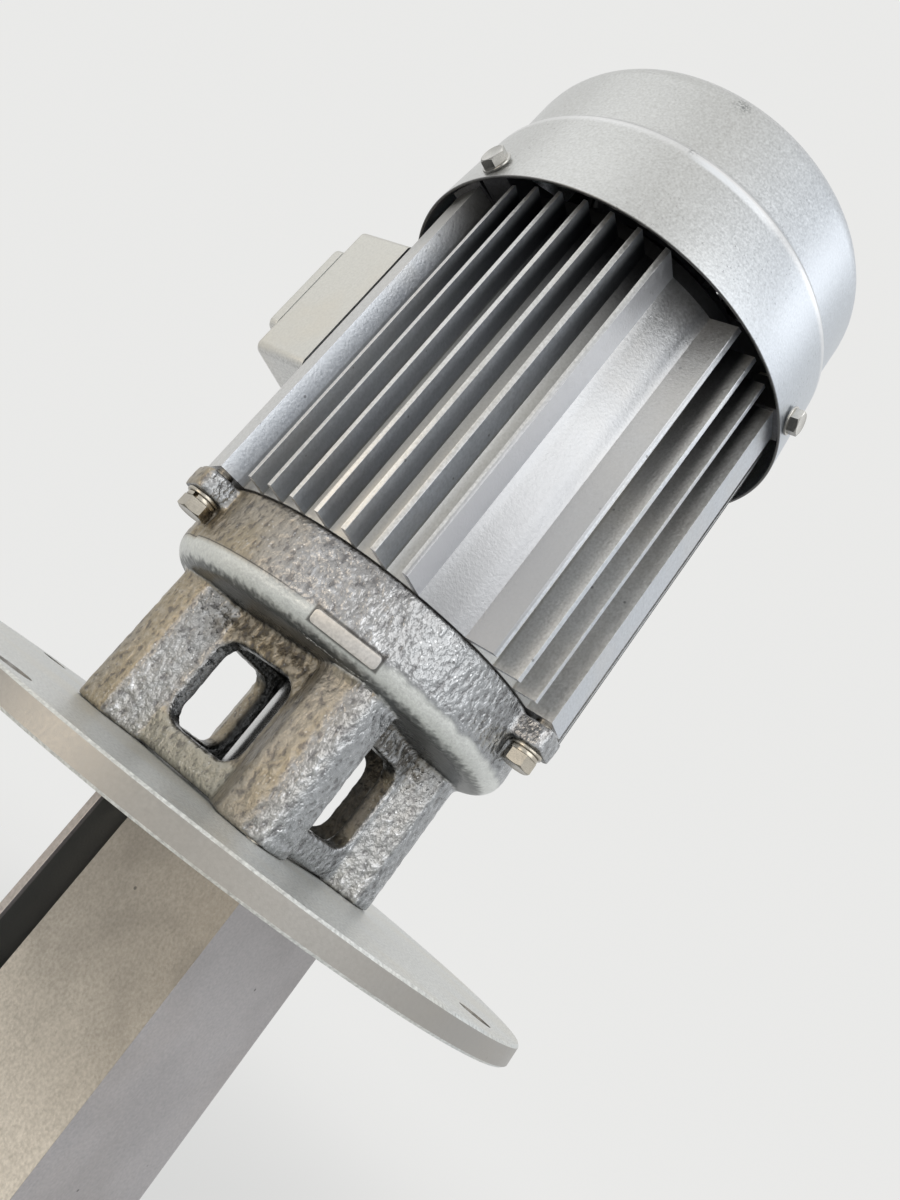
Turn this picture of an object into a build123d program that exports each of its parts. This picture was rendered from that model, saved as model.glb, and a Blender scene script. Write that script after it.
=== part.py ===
from build123d import *
from math import acos, cos, degrees, hypot, radians, sin
import os

os.makedirs("parts", exist_ok=True)

# Vertical coolant pump, in millimetres.
# +Z runs along the shaft from the pump to the fan, and the origin is the centre of the flange's
# underside. +X is the front of the column, and the terminal box is on the -Y side.

# Clearances
seat_gap = 0.05
running_gap = 0.06
ball_gap = 0.3
rotor_gap = 0.4

# Mounting flange
flange_d = 200
flange_t = 6
flange_hole_inset = 10
flange_hole_count = 4
flange_hole_d = 9
flange_bore_d = 30
flange_edge_break = 0.6

# Lantern
lantern_h = 67.5
pillar_half = 39
pillar_corner_r = 9
pillar_gap_half = 24
panel_face = 31
panel_half = 15.5
panel_wall = 6
foot_relief = 0.5
window_w = 28
window_low = 9
window_h = 27
window_corner_r = 6
shoulder_low = 44
shoulder_r = 7.5
bell_r = 58.4
bell_floor_t = 10
bell_wall = 11
bell_rim_r = 58.1
spigot_h = 4
cavity_corner_r = 5
cavity_roof_t = 4
bearing_hub_wall = 5
pillar_edge_r = 2.5
shaft_way = 3
flat_pad_w = 22
flat_pad_h = 7
flat_pad_rise = 0.5
flat_pad_depth = 3
flat_pad_corner_r = 1.5
flat_pad_azimuth = 30

# Lugs and pads at three places round the motor
pad_count = 3
pad_azimuth = -30
pad_half = 5.7
pad_face = 66.3
lug_half = 6.4
lug_reach = 68.2
lug_low = 59.5
lug_h = 6.5
lug_corner_r = 2.5
spot_clearance = 0.4

# Motor frame
frame_length = 115
frame_bore_r = 53
frame_wall = 5.2
fin_tip_r = 65.3
fin_root_t = 1.8
fin_tip_t = 1.2
fin_root_x = 30
front_fin_count = 7
front_fin_pitch = 8.22
front_fin_first = -14.4
side_fin_count = 3
side_fin_pitch = 9.38
side_fin_outer = 34.1
rear_fin_count = 3
rear_fin_pitch = 8.25
rear_fin_inner = 24
land_half = 18
land_face = 64
wire_hole_d = 12

# Motor inside
core_low = 18.5
core_length = 80
stator_bore_r = 30
winding_inner_r = 33
winding_outer_r = 47
winding_low_h = 13
winding_high_h = 11
winding_corner_r = 4
end_ring_r = 28
end_ring_h = 4

# Shaft, from the fan end down
shaft_d = 19
fan_seat_d = 14
fan_seat_length = 30
upper_journal_d = 17
core_seat_d = 26
impeller_seat_d = 14
impeller_thread_d = 10
shaft_chamfer = 0.8

# Bearings
lower_bearing_bore_d = 20
lower_bearing_outer_d = 47
lower_bearing_w = 14
lower_bearing_drop = 11.5
upper_bearing_outer_d = 40
upper_bearing_w = 12
upper_bearing_drop = 9.5
ring_t = 3.5
ball_count = 8
ball_d = 7.2
wave_washer_t = 0.8

# Shaft seal
seal_outer_d = 35
seal_w = 7
seal_shoulder = 1

# Fan end shield
shield_t = 4.5
shield_hub_r = 24
shield_spigot_h = 4
shield_spigot_t = 4
shield_lug_h = 10.5
shield_lug_half = 7
cowl_lug_half = 5
cowl_lug_h = 8
shield_hub_above = 8

# Cowl
cowl_t = 1
cowl_rim_below = 2.5
cowl_rim_r = 70
cowl_crease_h = 31
cowl_crease_r = 68
cowl_step_h = 2
cowl_drum_r = 65.6
cowl_length = 64.7
cowl_corner_r = 10
grille_slot_w = 5
grille_ring_first_r = 22
grille_ring_pitch = 10
grille_ring_count = 3
grille_slot_count = 8
grille_slot_angle = 28

# Cooling fan
fan_above_frame = 17.5
fan_r = 56
fan_disc_r = 44
fan_disc_t = 2.5
fan_hub_r = 12
fan_hub_h = 20
fan_blade_count = 7
fan_blade_t = 2
fan_blade_h = 25
fan_blade_tip_h = 18
fan_blade_rise_w = 8
clip_t = 1.2
clip_width = 3

# Screws
lug_bolt_circle_r = 62.5
lug_bolt_d = 5
lug_bolt_af = 8
lug_bolt_head_h = 3.6
lug_bolt_depth = 12
lug_washer_r = 5
lug_washer_t = 1
spring_washer_r = 4.4
spring_washer_t = 1.3
spring_washer_slit = 1.2
shield_bolt_wall = 4.2
shield_bolt_head_h = 3.5
cowl_screw_d = 4
cowl_screw_af = 7
cowl_screw_head_h = 2.8
cowl_screw_depth = 6
cowl_screw_above_frame = 3.4
cowl_screw_azimuth = 90
cowl_screw_spread = 108.5
cowl_screw_play = 0.3
cowl_washer_r = 4.5
cowl_washer_t = 0.8
lantern_screw_spread = 33.5
lantern_screw_d = 5
lantern_screw_head_d = 10
lantern_screw_depth = 12
head_chamfer = 0.5

# Column
column_t = 2.5
column_front = 28
column_back = -28
column_left = -16.1
column_right = 38.4
column_slot = 13.4
column_length = 200
column_bend_r = 4

# Pump at the foot of the column
foot_plate_r = 61
foot_plate_t = 6
bushing_outer_d = 26
bushing_length = 14
impeller_r = 33
impeller_below_plate = 2.5
impeller_shroud_t = 3
impeller_hub_r = 11
impeller_hub_h = 16
vane_count = 6
vane_t = 2.2
vane_h = 18
vane_inner_r = 14
vane_arc_r = 22
vane_arc_offset = 20
impeller_washer_r = 9
impeller_washer_t = 1.5
impeller_nut_af = 17
impeller_nut_h = 7
impeller_key_w = 4
impeller_key_length = 12
chamber_r = 41
chamber_h = 30
chamber_offset = 4
casing_wall = 4
casing_flange_t = 6
casing_rim_w = 6
casing_rim_t = 4
cover_t = 4
cover_screw_count = 6
cover_screw_d = 3
cover_screw_head_r = 2.75
cover_screw_head_h = 2.4
cover_screw_depth = 3.5
eye_r = 14
eye_collar_wall = 5
eye_collar_h = 6
outlet_bore_r = 11
outlet_wall = 3.5
socket_thread_r = 12.1
socket_wall = 4.2
socket_length = 16
casing_bolt_circle_r = 54
casing_bolt_count = 4
casing_bolt_azimuth = 10
casing_bolt_d = 5
casing_bolt_af = 8
casing_bolt_head_h = 3.5

# Terminal box
box_pocket_w = 50
box_pocket_h = 31
box_side_wall = 7.5
box_end_wall = 14.5
box_depth = 23
box_corner_r = 3
box_floor_t = 3
box_mid_z = 155.6
lid_h = 39.4
lid_t = 4.1
lid_inset = 0.5
lid_screw_margin = 1
lid_screw_y = 15.6
lid_screw_d = 3
lid_screw_head_r = 2.8
lid_screw_head_h = 2
lid_screw_depth = 9
gasket_width = 1.2
gasket_t = 1
base_screw_x = 14
base_screw_y = 10.5
base_screw_d = 4
base_screw_head_r = 3.6
base_screw_head_h = 2.4
base_screw_depth = 6
block_w = 26
block_h = 11
block_depth = 8
stud_d = 3
stud_rows = 3
stud_pitch_x = 8
stud_pitch_y = 5.5
stud_rise = 5

# Cable gland
gland_thread_d = 16
gland_thread_length = 12
gland_af = 20
gland_hex_h = 7
gland_nut_af = 18
gland_nut_h = 9
gland_cable_d = 8
gland_sleeve_t = 2
gland_sleeve_length = 14

# Heights that the pieces share
lantern_foot_z = flange_t
joint_z = flange_t + lantern_h
frame_top_z = joint_z + frame_length
bell_low_z = flange_t + shoulder_low
bell_floor_z = bell_low_z + bell_floor_t
lower_bearing_z = joint_z - lower_bearing_drop
lower_bearing_top_z = lower_bearing_z + lower_bearing_w
upper_bearing_z = frame_top_z - upper_bearing_drop
upper_bearing_top_z = upper_bearing_z + upper_bearing_w
core_z = joint_z + core_low
core_top_z = core_z + core_length
shield_shoulder_z = upper_bearing_top_z + wave_washer_t + seat_gap
shield_top_z = frame_top_z + shield_hub_above
fan_z = frame_top_z + fan_above_frame
fan_hub_top_z = fan_z + fan_hub_h
shaft_top_z = fan_z + fan_seat_length
cowl_rim_z = frame_top_z - cowl_rim_below
cowl_crease_z = cowl_rim_z + cowl_crease_h
cowl_step_z = cowl_crease_z + cowl_step_h
cowl_top_z = cowl_rim_z + cowl_length
column_foot_z = -column_length
plate_low_z = column_foot_z - foot_plate_t
impeller_top_z = plate_low_z - impeller_below_plate
impeller_hub_low_z = impeller_top_z - impeller_hub_h
chamber_floor_z = plate_low_z - chamber_h
cover_low_z = chamber_floor_z - cover_t
outlet_z = plate_low_z - chamber_h / 2
outlet_x = -chamber_offset - chamber_r + outlet_bore_r

# Radii that the pieces share
frame_floor_r = frame_bore_r + frame_wall
shield_bolt_circle_r = frame_bore_r + shield_bolt_wall
shaft_r = shaft_d / 2
flange_bolt_circle_r = flange_d / 2 - flange_hole_inset
cavity_half = panel_face - panel_wall

# Terminal box sizes that follow from its pocket
box_w = box_pocket_w + 2 * box_side_wall
box_h = box_pocket_h + 2 * box_end_wall
lid_screw_x = box_pocket_w / 2 + gasket_width + lid_screw_d / 2 + lid_screw_margin


def turned_face(points):
    """Half section beside the shaft's axis, from points given as radius and height."""
    with BuildSketch(Plane.XZ) as half_section:
        with BuildLine():
            Polyline(*points, close=True)
        make_face()
    return half_section.sketch


def ring_face(inner_r, outer_r, low_z, high_z):
    """Half section of a plain ring."""
    return turned_face([(inner_r, low_z), (outer_r, low_z), (outer_r, high_z), (inner_r, high_z)])


def cowl_r_at(z):
    """Outer radius of the cowl's tapered skirt at a height."""
    share = (z - cowl_rim_z) / cowl_crease_h
    return cowl_rim_r + (cowl_crease_r - cowl_rim_r) * share


def cowl_screw_planes(reach):
    """Planes across the three cowl screws, at a distance from the shaft's axis."""
    planes = []
    for step in (-1, 0, 1):
        azimuth = radians(cowl_screw_azimuth + step * cowl_screw_spread)
        outward = Plane(
            origin=(0, 0, frame_top_z + cowl_screw_above_frame),
            x_dir=(0, 0, 1),
            z_dir=(cos(azimuth), sin(azimuth), 0),
        )
        planes.append(outward.offset(reach))
    return planes


# Mounting flange: a machined plate, drilled for the tank and countersunk for the lantern
foot_plane = Plane(origin=(0, 0, 0), x_dir=(1, 0, 0), z_dir=(0, 0, -1))
with BuildPart() as flange:
    with BuildSketch():
        Circle(flange_d / 2)
        Circle(flange_bore_d / 2, mode=Mode.SUBTRACT)
        with PolarLocations(flange_bolt_circle_r, flange_hole_count):
            Circle(flange_hole_d / 2, mode=Mode.SUBTRACT)
    extrude(amount=flange_t)
    rims = flange.edges().filter_by(GeomType.CIRCLE).filter_by(lambda e: e.radius > flange_d / 2 - 1)
    chamfer(rims, length=flange_edge_break)
    with Locations(foot_plane):
        with GridLocations(2 * lantern_screw_spread, 2 * lantern_screw_spread, 2, 2):
            CounterSinkHole(
                radius=lantern_screw_d / 2 + seat_gap,
                counter_sink_radius=lantern_screw_head_d / 2 + seat_gap,
                counter_sink_angle=90,
            )
flange.part.label = "mounting_flange"
export_step(flange.part, "parts/mounting_flange.step")


# Lantern: four corner pillars under a round bell, with a window in each side and the lower
# bearing seat in its head
with BuildPart() as lantern:
    with BuildSketch(Plane.XY.offset(lantern_foot_z)):
        RectangleRounded(2 * pillar_half, 2 * pillar_half, pillar_corner_r)
    extrude(amount=shoulder_low)
    with BuildSketch(Plane.XY.offset(lantern_foot_z)):
        with PolarLocations(panel_face, 4):
            Polygon(
                (0, -panel_half),
                (pillar_half - panel_face, -pillar_gap_half),
                (pillar_half, -pillar_gap_half),
                (pillar_half, pillar_gap_half),
                (pillar_half - panel_face, pillar_gap_half),
                (0, panel_half),
            )
    extrude(amount=shoulder_low, mode=Mode.SUBTRACT)
    creases = lantern.edges().filter_by(Axis.Z).filter_by(lambda e: abs(e.center().X * e.center().Y) > 1)
    flank_edges = creases.filter_by(lambda e: max(abs(e.center().X), abs(e.center().Y)) > panel_face + 1)
    gap_reach = pillar_gap_half + 1
    gap_edges = flank_edges.filter_by(lambda e: min(abs(e.center().X), abs(e.center().Y)) < gap_reach)
    fillet(gap_edges, radius=pillar_edge_r)
    # bell with its rounded shoulder
    with BuildSketch(Plane.XZ):
        with BuildLine():
            Polyline((0, joint_z), (0, bell_low_z), (bell_r - shoulder_r, bell_low_z))
            CenterArc((bell_r - shoulder_r, bell_low_z + shoulder_r), shoulder_r, -90, 90)
            Polyline((bell_r, bell_low_z + shoulder_r), (bell_rim_r, joint_z), (0, joint_z))
        make_face()
    revolve(axis=Axis.Z)
    # bare flat pad on the shoulder
    shoulder_mid_r = bell_r - shoulder_r * (1 - cos(radians(45)))
    shoulder_mid_z = bell_low_z + shoulder_r * (1 - cos(radians(45)))
    pad_out = (cos(radians(flat_pad_azimuth)), sin(radians(flat_pad_azimuth)))
    pad_plane = Plane(
        origin=(pad_out[0] * shoulder_mid_r, pad_out[1] * shoulder_mid_r, shoulder_mid_z),
        x_dir=(-pad_out[1], pad_out[0], 0),
        z_dir=(pad_out[0], pad_out[1], -1),
    )
    with BuildSketch(pad_plane.offset(flat_pad_rise)):
        RectangleRounded(flat_pad_w, flat_pad_h, flat_pad_corner_r)
    extrude(amount=-flat_pad_depth)
    # spigot in the frame's bore
    spigot_r = frame_bore_r - seat_gap
    with BuildSketch(Plane.XY.offset(joint_z)):
        Circle(spigot_r)
    extrude(amount=spigot_h)
    # lugs under the frame's pads
    with BuildSketch(Plane.XY.offset(lantern_foot_z + lug_low)):
        with PolarLocations(bell_rim_r - bell_wall, pad_count, start_angle=pad_azimuth):
            Rectangle(
                lug_reach - bell_rim_r + bell_wall,
                2 * lug_half,
                align=(Align.MIN, Align.CENTER),
            )
    extrude(amount=lug_h)
    lug_corners = lantern.edges().filter_by(Axis.Z)
    lug_corners = lug_corners.filter_by(lambda e: hypot(e.center().X, e.center().Y) > lug_reach - 1)
    fillet(lug_corners, radius=lug_corner_r)
    # spot faces that clear the bolts' washers beside the bell
    with BuildSketch(Plane.XY.offset(lantern_foot_z + lug_low)):
        with PolarLocations(lug_bolt_circle_r, pad_count, start_angle=pad_azimuth):
            Circle(lug_washer_r + spot_clearance)
    extrude(amount=bell_low_z - lantern_foot_z - lug_low, mode=Mode.SUBTRACT)
    # hollow between the pillars, and the space in the head round the bearing hub
    with BuildSketch(Plane.XY.offset(lantern_foot_z)):
        RectangleRounded(2 * cavity_half, 2 * cavity_half, cavity_corner_r)
    extrude(amount=shoulder_low - cavity_roof_t, mode=Mode.SUBTRACT)
    hub_r = lower_bearing_outer_d / 2 + bearing_hub_wall
    revolve(
        ring_face(hub_r, bell_rim_r - bell_wall, bell_floor_z, joint_z + spigot_h),
        axis=Axis.Z,
        mode=Mode.SUBTRACT,
    )
    # bearing seat, seal seat and the shaft's way through
    seal_z = lower_bearing_z - seal_shoulder - seal_w
    bore_steps = turned_face(
        [
            (0, lantern_foot_z),
            (shaft_r + shaft_way, lantern_foot_z),
            (shaft_r + shaft_way, seal_z),
            (seal_outer_d / 2, seal_z),
            (seal_outer_d / 2, lower_bearing_z),
            (lower_bearing_outer_d / 2, lower_bearing_z),
            (lower_bearing_outer_d / 2, joint_z + spigot_h),
            (0, joint_z + spigot_h),
        ]
    )
    revolve(bore_steps, axis=Axis.Z, mode=Mode.SUBTRACT)
    # windows in all four sides
    for side in (Plane.XZ, Plane.YZ):
        with BuildSketch(side):
            with Locations((0, lantern_foot_z + window_low + window_h / 2)):
                RectangleRounded(window_w, window_h, window_corner_r)
        extrude(amount=pillar_half, both=True, mode=Mode.SUBTRACT)
    # the sides stand a hair clear of the flange, so that only the pillars bear on it
    with BuildSketch(Plane.XY.offset(lantern_foot_z)):
        Rectangle(2 * pillar_half, 2 * panel_half)
        Rectangle(2 * panel_half, 2 * pillar_half)
    extrude(amount=foot_relief, mode=Mode.SUBTRACT)
    # tapped feet and drilled lugs
    with BuildSketch(Plane.XY.offset(lantern_foot_z)):
        with GridLocations(2 * lantern_screw_spread, 2 * lantern_screw_spread, 2, 2):
            Circle(lantern_screw_d / 2 + seat_gap)
    extrude(amount=lantern_screw_depth, mode=Mode.SUBTRACT)
    with BuildSketch(Plane.XY.offset(lantern_foot_z + lug_low)):
        with PolarLocations(lug_bolt_circle_r, pad_count, start_angle=pad_azimuth):
            Circle(lug_bolt_d / 2 + seat_gap)
    extrude(amount=lug_h, mode=Mode.SUBTRACT)
lantern.part.label = "lantern_bracket"
export_step(lantern.part, "parts/lantern_bracket.step")


# Motor frame: an extrusion with parallel fins, three pads and a flat land for the terminal box
def fin(outward, across):
    """Tapered fin that runs outward from the frame, in the plane of the section."""
    half_root = fin_root_t / 2
    half_tip = fin_tip_t / 2
    reach = fin_tip_r + 2 * fin_tip_t
    corners = [(fin_root_x, -half_root), (reach, -half_tip), (reach, half_tip), (fin_root_x, half_root)]
    turned = []
    for along, beside in corners:
        turned.append(
            (
                outward[0] * along - outward[1] * (beside + across),
                outward[1] * along + outward[0] * (beside + across),
            )
        )
    Polygon(*turned)


with BuildSketch() as fin_rows:
    for index in range(front_fin_count):
        fin((1, 0), front_fin_first + index * front_fin_pitch)
    for index in range(side_fin_count):
        fin((0, 1), -side_fin_outer + index * side_fin_pitch)
    for index in range(rear_fin_count):
        fin((0, -1), rear_fin_inner + index * rear_fin_pitch)
    mirror(about=Plane.YZ)
    Circle(fin_tip_r, mode=Mode.INTERSECT)

with BuildPart() as frame:
    with BuildSketch(Plane.XY.offset(joint_z)):
        Circle(frame_floor_r)
        add(fin_rows.sketch)
        with PolarLocations(frame_bore_r, pad_count, start_angle=pad_azimuth):
            Rectangle(pad_face - frame_bore_r, 2 * pad_half, align=(Align.MIN, Align.CENTER))
        with Locations((0, -frame_bore_r)):
            Rectangle(2 * land_half, land_face - frame_bore_r, align=(Align.CENTER, Align.MAX))
        Circle(frame_bore_r, mode=Mode.SUBTRACT)
    extrude(amount=frame_length)
    with BuildSketch(Plane.XY.offset(joint_z)):
        with PolarLocations(lug_bolt_circle_r, pad_count, start_angle=pad_azimuth):
            Circle(lug_bolt_d / 2 + seat_gap)
    extrude(amount=lug_bolt_depth + 1, mode=Mode.SUBTRACT)
    with BuildSketch(Plane.XY.offset(frame_top_z)):
        with PolarLocations(shield_bolt_circle_r, pad_count, start_angle=pad_azimuth):
            Circle(lug_bolt_d / 2 + seat_gap)
    extrude(amount=-lug_bolt_depth - 1, mode=Mode.SUBTRACT)
    with BuildSketch(Plane(origin=(0, -land_face, box_mid_z), x_dir=(1, 0, 0), z_dir=(0, -1, 0))):
        Circle(wire_hole_d / 2)
    extrude(amount=frame_bore_r - land_face - 1, mode=Mode.SUBTRACT)
    with BuildSketch(Plane(origin=(0, -land_face, box_mid_z), x_dir=(1, 0, 0), z_dir=(0, -1, 0))):
        with GridLocations(2 * base_screw_x, 2 * base_screw_y, 2, 2):
            Circle(base_screw_d / 2 + seat_gap)
    extrude(amount=-base_screw_depth, mode=Mode.SUBTRACT)
frame.part.label = "motor_frame"
export_step(frame.part, "parts/motor_frame.step")


# Stator: the laminated core pressed in the frame, with the winding's two end turns
with BuildPart() as stator_core:
    revolve(ring_face(stator_bore_r, frame_bore_r - seat_gap, core_z, core_top_z), axis=Axis.Z)
stator_core.part.label = "stator_core"
export_step(stator_core.part, "parts/stator_core.step")

with BuildPart() as windings:
    low_turn = ring_face(winding_inner_r, winding_outer_r, core_z - winding_low_h, core_z)
    revolve(low_turn, axis=Axis.Z)
    high_turn = ring_face(winding_inner_r, winding_outer_r, core_top_z, core_top_z + winding_high_h)
    revolve(high_turn, axis=Axis.Z)
    free_edges = windings.edges().group_by(Axis.Z)[0] + windings.edges().group_by(Axis.Z)[-1]
    fillet(free_edges, radius=winding_corner_r)
windings.part.label = "stator_windings"
export_step(windings.part, "parts/stator_windings.step")


# Fan end shield with the upper bearing seat, lugs for its bolts and lugs for the cowl's screws
shaft_hole_r = upper_journal_d / 2 + 1
with BuildPart() as shield:
    shield_face = turned_face(
        [
            (upper_bearing_outer_d / 2, upper_bearing_z),
            (shield_hub_r, upper_bearing_z),
            (shield_hub_r, frame_top_z),
            (frame_bore_r - shield_spigot_t, frame_top_z),
            (frame_bore_r - shield_spigot_t, frame_top_z - shield_spigot_h),
            (frame_bore_r - seat_gap, frame_top_z - shield_spigot_h),
            (frame_bore_r - seat_gap, frame_top_z),
            (frame_floor_r, frame_top_z),
            (frame_floor_r, frame_top_z + shield_t),
            (shield_hub_r, frame_top_z + shield_t),
            (shield_hub_r - 3, shield_top_z),
            (shaft_hole_r, shield_top_z),
            (shaft_hole_r, shield_shoulder_z),
            (upper_bearing_outer_d / 2, shield_shoulder_z),
        ]
    )
    revolve(shield_face, axis=Axis.Z)
    shield_lug_reach = cowl_r_at(frame_top_z + shield_lug_h) - cowl_t - seat_gap
    shield_lug_root = frame_bore_r - shield_spigot_t
    with BuildSketch(Plane.XY.offset(frame_top_z)):
        with PolarLocations(shield_lug_root, pad_count, start_angle=pad_azimuth):
            Rectangle(
                shield_lug_reach - shield_lug_root,
                2 * shield_lug_half,
                align=(Align.MIN, Align.CENTER),
            )
        Circle(shield_lug_reach, mode=Mode.INTERSECT)
    extrude(amount=shield_lug_h)
    with BuildSketch(Plane.XY.offset(frame_top_z)):
        cowl_lug_start = cowl_screw_azimuth - cowl_screw_spread
        cowl_lug_end = cowl_screw_azimuth + cowl_screw_spread
        for azimuth in (cowl_lug_start, cowl_screw_azimuth, cowl_lug_end):
            with PolarLocations(shield_lug_root, 1, start_angle=azimuth):
                Rectangle(
                    shield_lug_reach - shield_lug_root,
                    2 * cowl_lug_half,
                    align=(Align.MIN, Align.CENTER),
                )
        Circle(shield_lug_reach, mode=Mode.INTERSECT)
    extrude(amount=cowl_lug_h)
    with BuildSketch(Plane.XY.offset(frame_top_z)):
        with PolarLocations(shield_bolt_circle_r, pad_count, start_angle=pad_azimuth):
            Circle(lug_bolt_d / 2 + seat_gap)
    extrude(amount=shield_lug_h, mode=Mode.SUBTRACT)
    for plane in cowl_screw_planes(shield_lug_reach):
        with BuildSketch(plane):
            Circle(cowl_screw_d / 2 + seat_gap)
        extrude(amount=-cowl_screw_depth - 1, mode=Mode.SUBTRACT)
shield.part.label = "fan_end_shield"
export_step(shield.part, "parts/fan_end_shield.step")


# Fan cowl: thin pressed sheet, flared at the rim, with a crease and a slotted end
def cowl_section(inset, low_z):
    """Half section of the cowl's skin, moved inwards by an inset."""
    with BuildSketch(Plane.XZ) as half_section:
        with BuildLine():
            Polyline(
                (0, low_z),
                (cowl_rim_r - inset, low_z),
                (cowl_crease_r - inset, cowl_crease_z),
                (cowl_drum_r - inset, cowl_step_z),
                (cowl_drum_r - inset, cowl_top_z - cowl_corner_r),
            )
            CenterArc(
                (cowl_drum_r - cowl_corner_r, cowl_top_z - cowl_corner_r),
                cowl_corner_r - inset,
                0,
                90,
            )
            Polyline(
                (cowl_drum_r - cowl_corner_r, cowl_top_z - inset),
                (0, cowl_top_z - inset),
                (0, low_z),
            )
        make_face()
    return half_section.sketch


with BuildPart() as cowl:
    revolve(cowl_section(0, cowl_rim_z), axis=Axis.Z)
    revolve(cowl_section(cowl_t, cowl_rim_z), axis=Axis.Z, mode=Mode.SUBTRACT)
    with BuildSketch(Plane.XY.offset(cowl_top_z)):
        for ring in range(grille_ring_count):
            slot_r = grille_ring_first_r + ring * grille_ring_pitch
            slot_arc = CenterArc((0, 0), slot_r, -grille_slot_angle / 2, grille_slot_angle, mode=Mode.PRIVATE)
            with PolarLocations(0, grille_slot_count):
                SlotArc(slot_arc, grille_slot_w)
    extrude(amount=-2 * cowl_t, mode=Mode.SUBTRACT)
    for plane in cowl_screw_planes(cowl_rim_r):
        with BuildSketch(plane):
            Circle(cowl_screw_d / 2 + cowl_screw_play)
        extrude(amount=-4 * cowl_t, mode=Mode.SUBTRACT)
cowl.part.label = "fan_cowl"
export_step(cowl.part, "parts/fan_cowl.step")


# Cowl screws and their washers
cowl_washer_low_z = frame_top_z + cowl_screw_above_frame - cowl_washer_r
cowl_washer_inner = cowl_r_at(cowl_washer_low_z) + seat_gap
cowl_head_inner = cowl_washer_inner + cowl_washer_t
with BuildPart() as cowl_screws:
    for plane in cowl_screw_planes(cowl_head_inner):
        with BuildSketch(plane):
            RegularPolygon(cowl_screw_af / 2, 6, major_radius=False)
        extrude(amount=cowl_screw_head_h)
        with BuildSketch(plane):
            Circle(cowl_screw_d / 2)
        extrude(amount=shield_lug_reach - cowl_screw_depth - cowl_head_inner)
cowl_screws.part.label = "cowl_screws"
export_step(cowl_screws.part, "parts/cowl_screws.step")

with BuildPart() as cowl_washers:
    for plane in cowl_screw_planes(cowl_washer_inner):
        with BuildSketch(plane):
            Circle(cowl_washer_r)
            Circle(cowl_screw_d / 2 + seat_gap, mode=Mode.SUBTRACT)
        extrude(amount=cowl_washer_t)
cowl_washers.part.label = "cowl_washers"
export_step(cowl_washers.part, "parts/cowl_washers.step")


# Lug bolts: heads towards the flange, each with a plain and a spring washer, into the frame's pads
lug_underside_z = lantern_foot_z + lug_low
spring_z = lug_underside_z - lug_washer_t
bolt_head_top_z = spring_z - spring_washer_t
with BuildPart() as lug_bolts:
    with BuildSketch(Plane.XY.offset(bolt_head_top_z)):
        with PolarLocations(lug_bolt_circle_r, pad_count, start_angle=pad_azimuth):
            RegularPolygon(lug_bolt_af / 2, 6, major_radius=False)
    extrude(amount=-lug_bolt_head_h)
    with BuildSketch(Plane.XY.offset(bolt_head_top_z)):
        with PolarLocations(lug_bolt_circle_r, pad_count, start_angle=pad_azimuth):
            Circle(lug_bolt_d / 2)
    extrude(amount=joint_z + lug_bolt_depth - bolt_head_top_z)
    head_rims = lug_bolts.edges().group_by(Axis.Z)[0]
    chamfer(head_rims, length=head_chamfer)
lug_bolts.part.label = "lug_bolts"
export_step(lug_bolts.part, "parts/lug_bolts.step")

with BuildPart() as lug_washers:
    with BuildSketch(Plane.XY.offset(spring_z)):
        with PolarLocations(lug_bolt_circle_r, pad_count, start_angle=pad_azimuth):
            Circle(lug_washer_r)
            Circle(lug_bolt_d / 2 + seat_gap, mode=Mode.SUBTRACT)
    extrude(amount=lug_washer_t)
lug_washers.part.label = "lug_washers"
export_step(lug_washers.part, "parts/lug_washers.step")

with BuildPart() as spring_washers:
    with BuildSketch(Plane.XY.offset(bolt_head_top_z)):
        with PolarLocations(lug_bolt_circle_r, pad_count, start_angle=pad_azimuth):
            Circle(spring_washer_r)
            Circle(lug_bolt_d / 2 + seat_gap, mode=Mode.SUBTRACT)
        with PolarLocations(lug_bolt_circle_r, pad_count, start_angle=pad_azimuth):
            Rectangle(
                2 * spring_washer_r,
                spring_washer_slit,
                align=(Align.MIN, Align.CENTER),
                mode=Mode.SUBTRACT,
            )
    extrude(amount=spring_washer_t)
spring_washers.part.label = "lug_spring_washers"
export_step(spring_washers.part, "parts/lug_spring_washers.step")


# Bolts that hold the fan end shield on the frame
with BuildPart() as shield_bolts:
    shield_seat_z = frame_top_z + shield_lug_h
    with BuildSketch(Plane.XY.offset(shield_seat_z)):
        with PolarLocations(shield_bolt_circle_r, pad_count, start_angle=pad_azimuth):
            RegularPolygon(lug_bolt_af / 2, 6, major_radius=False)
    extrude(amount=shield_bolt_head_h)
    with BuildSketch(Plane.XY.offset(shield_seat_z)):
        with PolarLocations(shield_bolt_circle_r, pad_count, start_angle=pad_azimuth):
            Circle(lug_bolt_d / 2)
    extrude(amount=-shield_lug_h - lug_bolt_depth)
shield_bolts.part.label = "end_shield_bolts"
export_step(shield_bolts.part, "parts/end_shield_bolts.step")


# Countersunk screws from under the flange into the lantern's feet
with BuildPart() as lantern_screws:
    head_r = lantern_screw_head_d / 2
    head_h = head_r - lantern_screw_d / 2
    with Locations(foot_plane):
        with GridLocations(2 * lantern_screw_spread, 2 * lantern_screw_spread, 2, 2):
            Cone(lantern_screw_d / 2, head_r, head_h, align=(Align.CENTER, Align.CENTER, Align.MAX))
            Cylinder(
                lantern_screw_d / 2,
                flange_t + lantern_screw_depth - 1,
                align=(Align.CENTER, Align.CENTER, Align.MAX),
            )
lantern_screws.part.label = "lantern_screws"
export_step(lantern_screws.part, "parts/lantern_screws.step")


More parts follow.
